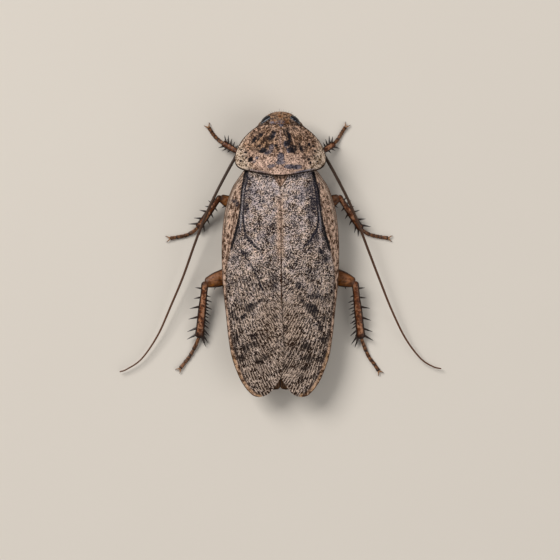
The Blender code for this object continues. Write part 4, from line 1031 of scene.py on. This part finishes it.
# Dark blotches: distance from the midline, y, half width, half height, turn, strength.
BLOTCHES = {
    "left": [
        (4.8, -8.4, 1.0, 0.6, -35, 1.5), (5.9, -9.9, 0.8, 0.4, -50, 0.9), (6.4, -11.9, 0.4, 1.1, -6, 0.6),
        (3.4, -7.5, 0.9, 0.26, -35, 0.75), (4.1, -14.3, 0.9, 0.6, 0, 0.65), (5.7, -15.0, 0.9, 0.8, 0, 0.8),
        (0.9, -10.1, 0.8, 0.9, 0, 0.5), (2.5, -16.4, 0.8, 0.6, 0, 0.6), (7.1, -13.4, 0.45, 1.4, 0, 0.7),
        (6.2, -16.6, 0.7, 0.8, 0, 0.85), (7.3, -15.3, 0.45, 0.7, 0, 0.5), (3.4, -17.1, 0.9, 0.6, 20, 0.75),
        (2.2, -12.9, 0.9, 0.8, 0, 0.4), (5.4, 7.4, 0.45, 1.2, 0, 0.75), (7.7, -9.6, 0.5, 1.1, 0, 0.6),
        (7.2, -0.6, 0.8, 0.6, 0, 0.6), (7.4, 8.6, 0.6, 0.5, 0, 0.75), (7.4, 6.3, 0.35, 0.8, 0, 0.45),
        (4.9, 12.2, 0.5, 0.7, 0, 0.5), (5.6, 0.2, 0.8, 0.5, 30, 0.6), (1.0, -0.6, 0.8, 0.8, 0, 0.4),
        (6.2, -7.9, 1.3, 1.0, 0, 0.5), (1.0, -4.2, 1.0, 1.6, 0, 0.55), (2.2, 3.0, 1.4, 1.6, 0, 0.35),
        (1.7, -15.6, 1.3, 1.0, 0, 0.3), (3.4, -18.6, 2.2, 1.0, 0, 0.35), (4.9, 10.0, 0.7, 2.4, 0, 0.5),
        (6.9, 8.0, 0.45, 0.55, 0, 0.85), (5.6, 7.3, 0.45, 0.9, 0, 0.75), (4.0, 10.1, 0.6, 0.7, 0, 0.45),
        (2.4, 12.3, 0.7, 0.5, 0, 0.45), (5.2, 12.7, 0.5, 0.5, 0, 0.5), (1.1, 9.2, 0.5, 0.7, 0, 0.4),
        (4.2, 7.1, 0.6, 0.5, 0, 0.45), (1.2, 4.6, 0.7, 0.9, 0, 0.35), (3.3, -5.3, 1.4, 0.7, 0, 0.35),
        (7.2, -10.1, 0.6, 0.7, 0, 0.6), (4.1, -13.2, 0.8, 0.7, 0, 0.55), (3.0, 8.6, 0.5, 0.5, 0, 0.35),
        (3.3, 5.0, 0.5, 0.6, 0, 0.35),
    ],
    "right": [
        (3.5, -7.5, 0.7, 0.32, -45, 0.75), (5.1, -8.7, 1.15, 0.7, -38, 1.7),
        (5.6, -9.9, 0.85, 0.45, -52, 0.95), (6.4, -11.5, 0.45, 0.95, 15, 0.9),
        (6.9, -13.4, 0.45, 1.1, 8, 0.8), (4.1, -14.6, 0.9, 0.7, 0, 0.85), (1.6, -16.0, 0.7, 0.5, 0, 0.5),
        (0.8, -18.0, 0.7, 0.7, 0, 0.65), (3.9, -18.1, 0.8, 0.6, 0, 0.75), (5.4, -19.6, 0.7, 0.6, 0, 0.45),
        (4.5, -16.5, 1.1, 0.7, 0, 0.8), (2.8, -17.4, 0.8, 0.5, 0, 0.45), (6.3, -16.7, 0.7, 0.6, 0, 0.8),
        (7.2, -15.9, 0.5, 0.7, 0, 0.8), (2.9, -5.0, 0.55, 0.8, 0, 0.65), (2.9, -7.2, 0.4, 0.5, 0, 0.6),
        (7.4, -7.0, 0.7, 0.7, 0, 0.6), (6.5, 0.5, 0.6, 0.42, -20, 0.95), (5.9, -1.0, 0.7, 0.5, 40, 0.4),
        (7.2, -0.6, 0.6, 0.9, 0, 0.75), (0.9, -0.3, 0.5, 0.4, 0, 0.25), (5.98, 9.6, 0.32, 2.2, -6, 1.4),
        (5.25, 8.1, 0.6, 1.8, 0, 1.0), (7.7, 8.4, 0.5, 0.35, 0, 0.4), (4.3, 7.2, 0.8, 0.9, 0, 0.5),
        (7.3, 5.2, 0.3, 1.2, 0, 0.4), (4.6, 10.6, 1.0, 1.8, 0, 0.55), (5.6, -6.6, 1.2, 1.0, 0, 0.6),
        (5.6, 3.0, 0.8, 1.6, 0, 0.6), (5.0, -3.0, 1.4, 1.2, 0, 0.25), (3.4, -16.6, 3.2, 3.0, 0, 0.3),
        (3.0, 2.2, 1.6, 1.2, 0, 0.15), (6.2, 7.6, 0.7, 1.4, 0, 0.7), (4.8, 5.6, 0.8, 1.2, 0, 0.55),
        (2.8, 12.5, 0.6, 0.4, 0, 0.45), (4.8, 12.3, 0.5, 0.5, 0, 0.5), (3.5, 9.1, 0.5, 0.7, 0, 0.45),
        (1.8, 7.6, 0.5, 0.7, 0, 0.4), (4.3, 6.8, 0.5, 0.5, 0, 0.45), (2.4, 4.5, 0.7, 0.7, 0, 0.35),
        (7.1, -10.1, 0.6, 0.7, 0, 0.6), (0.8, -11.7, 0.7, 0.7, 0, 0.55),
    ],
}
# Pale patches, given the same way.
PALE_PATCHES = {
    "left": [
        (4.2, -0.4, 0.8, 1.9, 20, 1.0), (2.5, -0.6, 0.8, 0.8, 0, 1.0), (2.5, -3.7, 0.8, 0.7, 0, 0.6),
        (7.2, -11.9, 0.5, 0.7, 0, 0.8), (0.9, -16.5, 0.7, 0.7, 0, 0.6), (1.7, -18.9, 1.4, 0.7, 0, 0.6),
        (6.3, 2.4, 0.3, 1.6, -14, 0.8), (4.9, 0.9, 0.8, 0.4, 35, 0.8),
    ],
    "right": [
        (0.8, 1.1, 0.7, 0.8, 0, 1.0), (3.9, 2.5, 0.7, 0.7, 0, 0.9), (5.5, -0.5, 0.6, 0.7, 0, 0.9),
        (7.1, -4.5, 0.6, 1.5, 0, 0.8), (0.8, -13.3, 0.7, 0.8, 0, 0.7), (5.5, -13.3, 0.6, 0.8, 0, 0.6),
        (2.4, -16.5, 0.8, 0.7, 0, 0.5), (2.3, -19.7, 0.8, 0.7, 0, 0.7),
    ],
}


def away(x, y, line):
    """Distance of each place from a smooth line, and the share of the line that is nearest."""
    points = curve(line, np.linspace(0, 1, 40))
    best, where = np.full(len(x), 99.0), np.zeros(len(x))
    for number, (start, end) in enumerate(zip(points, points[1:])):
        run = end - start
        t = np.clip(((x - start[0]) * run[0] + (y - start[1]) * run[1]) / (run @ run), 0, 1)
        gap = np.hypot(x - start[0] - t * run[0], y - start[1] - t * run[1])
        where = np.where(gap < best, (number + t) / (len(points) - 1), where)
        best = np.minimum(best, gap)
    return best, where


def cover(side):
    """The curved height of one forewing, with the marks that colour its leather."""
    left = side == "left"

    def height(x, y, across, share):
        out = -x if left else x
        groove, along_groove = away(out, y, GROOVE[side])
        furrow, along_furrow = away(out, y, FURROW[side])
        second, along_second = away(out, y, SECOND_LINE[side])
        margin = away(out, y, FORE_OUTER)[0]
        side_vein = np.minimum(*[away(out, y, line)[0] for line in SIDE_VEINS])
        beyond = out - read(sorted([(b, a) for a, b in GROOVE[side]] + EDGE_LINE), y)
        spread = np.exp(STREAM_SPREAD * np.minimum(y, 2.0))
        stream = (read(STREAM, y) - out) * spread
        veins = np.zeros(len(x))
        for finer, start in VEINS:
            pitch = VEIN_PITCH / finer
            gap = np.abs(stream / pitch - np.rint(stream / pitch)) * pitch / spread
            veins = np.maximum(veins, band(gap, VEIN_WIDTH) * fade(y, start, -3))
        deep = band(groove, np.interp(along_groove, *GROOVE_WIDTHS))
        bent = band(furrow, np.interp(along_furrow, *FURROW_WIDTHS)) * fade(along_furrow, 0.97, -0.15)
        tilt = band(second, 0.2) * fade(along_second, 1.1, -0.3)
        pale = band(groove - furrow, 0.2) * (groove < 0.9) * (furrow < 0.9) * fade(y, 11.6, -1.2)
        pale *= fade(y, 3.4, 1.2) * np.interp(y, [5.5, 7.5], [1.0, 0.65 if left else 0.0])
        # Painted shade: a broad dark halo beside the groove, carried in the blotch mark.
        shade = band(groove, 0.75) * fade(y, 0.5, 1) * (0.6 if left else 0.8) * (beyond < 0)
        z = roof(x, y) + VEIN_RISE * veins * (share > 0.03) + SIDE_VEIN_RISE * band(side_vein, 0.1)
        z += PALE_RISE * pale - GROOVE_DEPTH * deep - FURROW_DEPTH * bent - SECOND_DEPTH * tilt
        if not left:
            t = fade(x - read(LAP, y), 0.02, 0.6)
            z -= LAP_DEPTH * (1 - t * t * (3 - 2 * t)) * fade(y, 10.9, -0.8)
        return z, {
            "stream": stream + (40 if left else 0), "along": y, "margin": margin, "vein": veins, "pale": pale,
            "groove": deep, "furrow": np.maximum(bent, tilt * (0.5 if left else 0.4)),
            "side_vein": band(side_vein, 0.11), "costal": fade(beyond, -0.15, 0.3),
            "bound": band(beyond, 0.16) * fade(y, 0.5, -3), "bare": spotted(out, y, PALE_PATCHES[side]),
            "blot": np.maximum(spotted(out, y, BLOTCHES[side]), shade), "rim": fade(margin, 0.12, -0.06),
            "seam": band(out - 0.15, 0.48) * fade(y, -2, 2.5) * fade(y, 10, -2),
            "edge": fade(margin, 0.65, -0.3) * fade(y, -13, -3),
            "tawny": band(out - 1.6, 1.8) * band(y + 11.5, 4.5),
            "inner": fade(across, 0.016, -0.006) * np.interp(y, *INNER_EDGE),
        }
    return height


cover_horn, at = finish("flecked wing leather")
cloud = at.grain(0.0017, 3.0)
patch = at.grain(0.0007, 3.0, 0.6)
fine = at.grain(0.00012, 2.0, 0.7)
spots = at.grain(0.00017, 2.0, 0.6, 0.1)
stream, along, costal = at.mark("stream"), at.mark("along"), at.mark("costal")
zone = (10.0 - along) * (1 / 28)


def streaks(width, length):
    """Noise drawn out along the veins, with a width and length in millimetres."""
    return stream.laid_out(along, width, length).grain(1.0, 2.0, 0.55)


def graded(*stops):
    """A colour that changes from the wing's root to its tip."""
    return zone.node("ValToRGB", {"stops": list(zip((0.0, 0.45, 1.0), stops))}, {0: zone})


rooted = streaks(0.14, 0.36)
drawn = along.step(-3.0, -7.0).blend(rooted, streaks(0.082, 0.44))
drawn = along.step(-12.0, -16.0).blend(drawn, streaks(0.042, 0.5))
flecks = along.step(1.0, -6.0).blend(spots * 0.8 + rooted * 0.2, drawn * 0.58 + spots * 0.42)
flecks += ((patch - 0.5) * 0.2 + (cloud - 0.5) * 0.22) * (1.08 - zone * 0.45) + (fine - 0.5) * 0.34
flecks += at.mark("bare") * 0.04 - at.mark("blot") * 0.06
flecks = ((flecks - zone * 0.036 - 0.516) * (zone * 0.4 + 1)).step(-0.04, 0.04)
hue = at.grain(0.0009, 3.0, 0.6).step(0.4, 0.6)
dark = hue.between(
    graded((0.02, 0.018, 0.025), (0.011, 0.008, 0.01), (0.013, 0.006, 0.003)),
    graded((0.04, 0.022, 0.014), (0.02, 0.01, 0.006), (0.02, 0.008, 0.003)),
)
light = hue.between(
    graded((0.78, 0.63, 0.585), (0.76, 0.61, 0.54), (0.72, 0.565, 0.48)),
    graded((0.86, 0.66, 0.54), (0.84, 0.65, 0.53), (0.8, 0.61, 0.49)),
)
grainy = (streaks(0.22, 0.8) * 0.6 + spots * 0.4 + (patch - 0.5) * 0.35).step(0.43, 0.57)
# Dark blotches, and with them the painted shade beside the groove.
blot = (at.mark("blot") * (0.6 + patch.step(0.36, 0.62) * 0.6)).step(0.15, 0.75)
dashes = streaks(0.4, 0.7).step(0.42, 0.52) * (along.step(0.0, -8.0) * 0.7 + 0.15)
worn = 1 - spots.step(0.53, 0.64) * 0.3
slate = flecks.between((0.03, 0.028, 0.042), (0.38, 0.34, 0.38))
seam = (spots * 0.75 + patch * 0.25).step(0.45, 0.55).between((0.07, 0.03, 0.014), (0.74, 0.52, 0.39))
tip = grainy.between((0.07, 0.028, 0.01), (0.46, 0.27, 0.14))
hem = costal * at.mark("margin").step(0.75, 0.45) * along.step(3.0, 6.0) * 0.7
leather = coats(
    flecks.between(dark, light),
    (cloud.step(0.5, 0.64) * (1 - zone * 0.85) * 0.55, slate),
    (at.mark("tawny") * 0.6, flecks.between((0.03, 0.012, 0.005), (0.62, 0.44, 0.31))),
    (at.mark("seam") * 0.85, seam),
    (costal * 0.95, grainy.between((0.05, 0.02, 0.008), (0.66, 0.45, 0.335))),
    (hem, spots.step(0.4, 0.56).between((0.19, 0.13, 0.095), (0.56, 0.43, 0.34))),
    # Near-black blotches and the painted shade beside the groove.
    (blot * (1 - flecks * 0.35), graded((0.018, 0.016, 0.024), (0.013, 0.011, 0.015), (0.013, 0.007, 0.005))),
    (at.mark("vein") * dashes * (1 - costal) * (1 - blot * 0.7), (0.66, 0.5, 0.4)),
    (at.mark("side_vein") * 0.85 * spots.step(0.35, 0.5), (0.06, 0.024, 0.01)),
    (at.mark("bound") * (1 - flecks * 0.6), (0.022, 0.014, 0.013)),
    (at.mark("pale") * 0.8, spots.step(0.42, 0.56).between((0.1, 0.095, 0.115), (0.46, 0.43, 0.45))),
    (at.mark("furrow").step(0.1, 0.6) * worn, (0.014, 0.013, 0.02)),
    (at.mark("groove").step(0.15, 0.7) * worn.higher(at.mark("groove")), (0.007, 0.006, 0.008)),
    (at.mark("edge") * (0.35 + patch.step(0.44, 0.56) * 0.5), tip),
    (at.mark("rim").higher(at.mark("inner")), (0.05, 0.02, 0.008)),
)
lay_on(
    cover_horn, flecks * 0.5 + fine * 0.5, 0.06, Base_Color=leather, Roughness=0.52 + fine * 0.14,
    Specular_IOR_Level=0.08,
)
for side, turn in SIDES.items():
    name = "wing_cover_" + side
    inner = FORE_INNER[side]
    wing = membrane(name, cover_horn, inner, FORE_OUTER, turn, 104, 300, cover(side), COVER_THICKNESS)
    belongs(wing, "forewing", "forewing_" + side)


# Antennae: two long whips of well over a hundred short rings, thick and dark at the root and fine and
# reddish at the tip. Each grows from its socket on the face, comes out under the shield and trails back
# over the middle legs.
FEELER_ROOT = [
    (2.0, 21.45, 3.15), (2.95, 21.0, 3.15), (3.65, 20.35, 3.55), (4.95, 18.85, 3.85), (6.3, 17.15, 4.0),
]
FEELER_SWEEP = {
    "left": [
        (-7.5, 15.1, 4.05), (-8.9, 12.55, 4.05), (-10.67, 9.1, 4.0), (-12.4, 5.3, 3.6), (-13.9, 1.3, 3.0),
        (-15.65, -3.6, 2.4), (-17.55, -8.1, 1.85), (-19.7, -12.9, 1.3), (-22.3, -16.7, 0.95),
        (-24.7, -18.4, 0.8), (-25.9, -18.85, 0.75),
    ],
    "right": [
        (7.4, 15.3, 4.05), (8.8, 12.8, 4.05), (10.86, 8.8, 4.0), (12.5, 5.0, 3.6), (13.9, 1.3, 3.0),
        (15.9, -3.9, 2.4), (17.9, -8.9, 1.85), (20.1, -13.4, 1.3), (22.5, -16.6, 0.95), (24.5, -17.95, 0.8),
        (25.95, -18.35, 0.75),
    ],
}
FEELER_RINGS = 150
FEELER_WIDTHS = [
    (0.0, 0.36), (0.028, 0.38), (0.036, 0.27), (0.05, 0.31), (0.06, 0.27), (0.15, 0.26), (0.5, 0.21),
    (0.85, 0.15), (1.0, 0.11),
]

whip, at = finish("ringed feeler horn")
turns = at.mark("length") * (FEELER_RINGS * math.tau)
beads = turns.sum("COSINE", turns)
horn = coats(
    at.mark("length").step(0.15, 0.95).between((0.045, 0.024, 0.014), (0.12, 0.045, 0.018)),
    (at.mark("length").step(0.045, 0.032), (0.14, 0.075, 0.04)),
    (beads.step(0.3, 1.0) * 0.6, (0.014, 0.008, 0.006)),
)
lay_on(whip, at.grain(0.0001), 0.015, Base_Color=horn, Roughness=0.42 + beads * 0.05, Specular_IOR_Level=0.25)


def feeler_beads(share):
    return 1 - 0.1 * np.clip(np.cos(share * FEELER_RINGS * math.tau), 0, 1) * (share > 0.055)


for side, turn in SIDES.items():
    route = mirrored(FEELER_ROOT, turn) + FEELER_SWEEP[side]
    feeler = limb(
        "feeler_" + side, whip, route, FEELER_WIDTHS, 12, 900, caps=(0.004, 0.004), even=1.0,
        ripple=feeler_beads,
    )
    belongs(feeler, "antenna", *["antenna_" + side + "_" + length for length in ("scape", "near", "far")])


# Cerci: a pair of short tapering feelers of about nine flattened joints, in the brown horn of the feet.
# They grew at the tail, and point out and back.
CERCUS_ROUTE = [(1.2, -19.0, 2.7), (1.45, -19.4, 2.65), (2.3, -20.4, 2.5), (3.0, -21.25, 2.45)]
CERCUS_WIDTHS = [(0, 0.3), (0.3, 0.4), (0.65, 0.34), (1, 0.1)]
CERCUS_HEIGHTS = [(0, 0.24), (0.3, 0.3), (0.65, 0.25), (1, 0.08)]
CERCUS_JOINTS = 9


def cercus_beads(share):
    return 1 - 0.12 * np.clip(np.cos(share * CERCUS_JOINTS * math.tau), 0, 1) ** 3


for side, turn in SIDES.items():
    tail = limb(
        "tail_feeler_" + side, foot_horn, mirrored(CERCUS_ROUTE, turn), CERCUS_WIDTHS, 24, 80, CERCUS_HEIGHTS,
        even=0.9, ripple=cercus_beads,
    )
    belongs(tail, "body", "cercus_" + side)


# The stage: a plain pale floor of matt paper colour, two broad soft lamps and an even soft sky. The camera
# looks straight down.
CAMERA_HEIGHT = 0.7
# The width that the picture shows, half way up the animal.
VIEW_WIDTH, MIDDLE_HEIGHT = 0.0896, 0.005
CAMERA_AIM = (-0.00006, -0.00405)
SENSOR = 36
# Lamps: place, size and power.
LAMPS = [((-0.5, 0.45, 0.7), 0.5, 8.0), ((0.65, -0.3, 0.6), 0.8, 3.0)]
SKY_STRENGTH = 0.26

pale_floor, at = finish("pale floor")
pale = at.grain(0.05).between((0.655, 0.6, 0.535), (0.675, 0.622, 0.555))
lay_on(pale_floor, at.grain(0.004), 0.02, Base_Color=pale, Roughness=0.75)
bpy.ops.mesh.primitive_plane_add(size=3)
floor = begun("floor", pale_floor)[0]

for place, size, power in LAMPS:
    lamp = bpy.data.objects.new("lamp", bpy.data.lights.new("lamp", "AREA"))
    lamp.data.size = size
    lamp.data.energy = power
    lamp.data.color = (1.0, 0.985, 0.96)
    lamp.location = place
    lamp.rotation_euler = (-Vector(place)).to_track_quat("-Z", "Y").to_euler()
    bpy.context.scene.collection.objects.link(lamp)
sky = bpy.data.worlds.new("sky")
sky.use_nodes = True
background = sky.node_tree.nodes["Background"].inputs
background["Color"].default_value = (1.0, 1.0, 1.0, 1)
background["Strength"].default_value = SKY_STRENGTH
bpy.context.scene.world = sky
bpy.context.scene.view_settings.view_transform = "Standard"

camera = bpy.data.objects.new("camera", bpy.data.cameras.new("camera"))
camera.location = (*CAMERA_AIM, CAMERA_HEIGHT)
camera.data.sensor_width = SENSOR
camera.data.lens = SENSOR * (CAMERA_HEIGHT - MIDDLE_HEIGHT) / VIEW_WIDTH
camera.data.clip_start = 0.05
camera.data.clip_end = 10
bpy.context.scene.collection.objects.link(camera)
bpy.context.scene.camera = camera
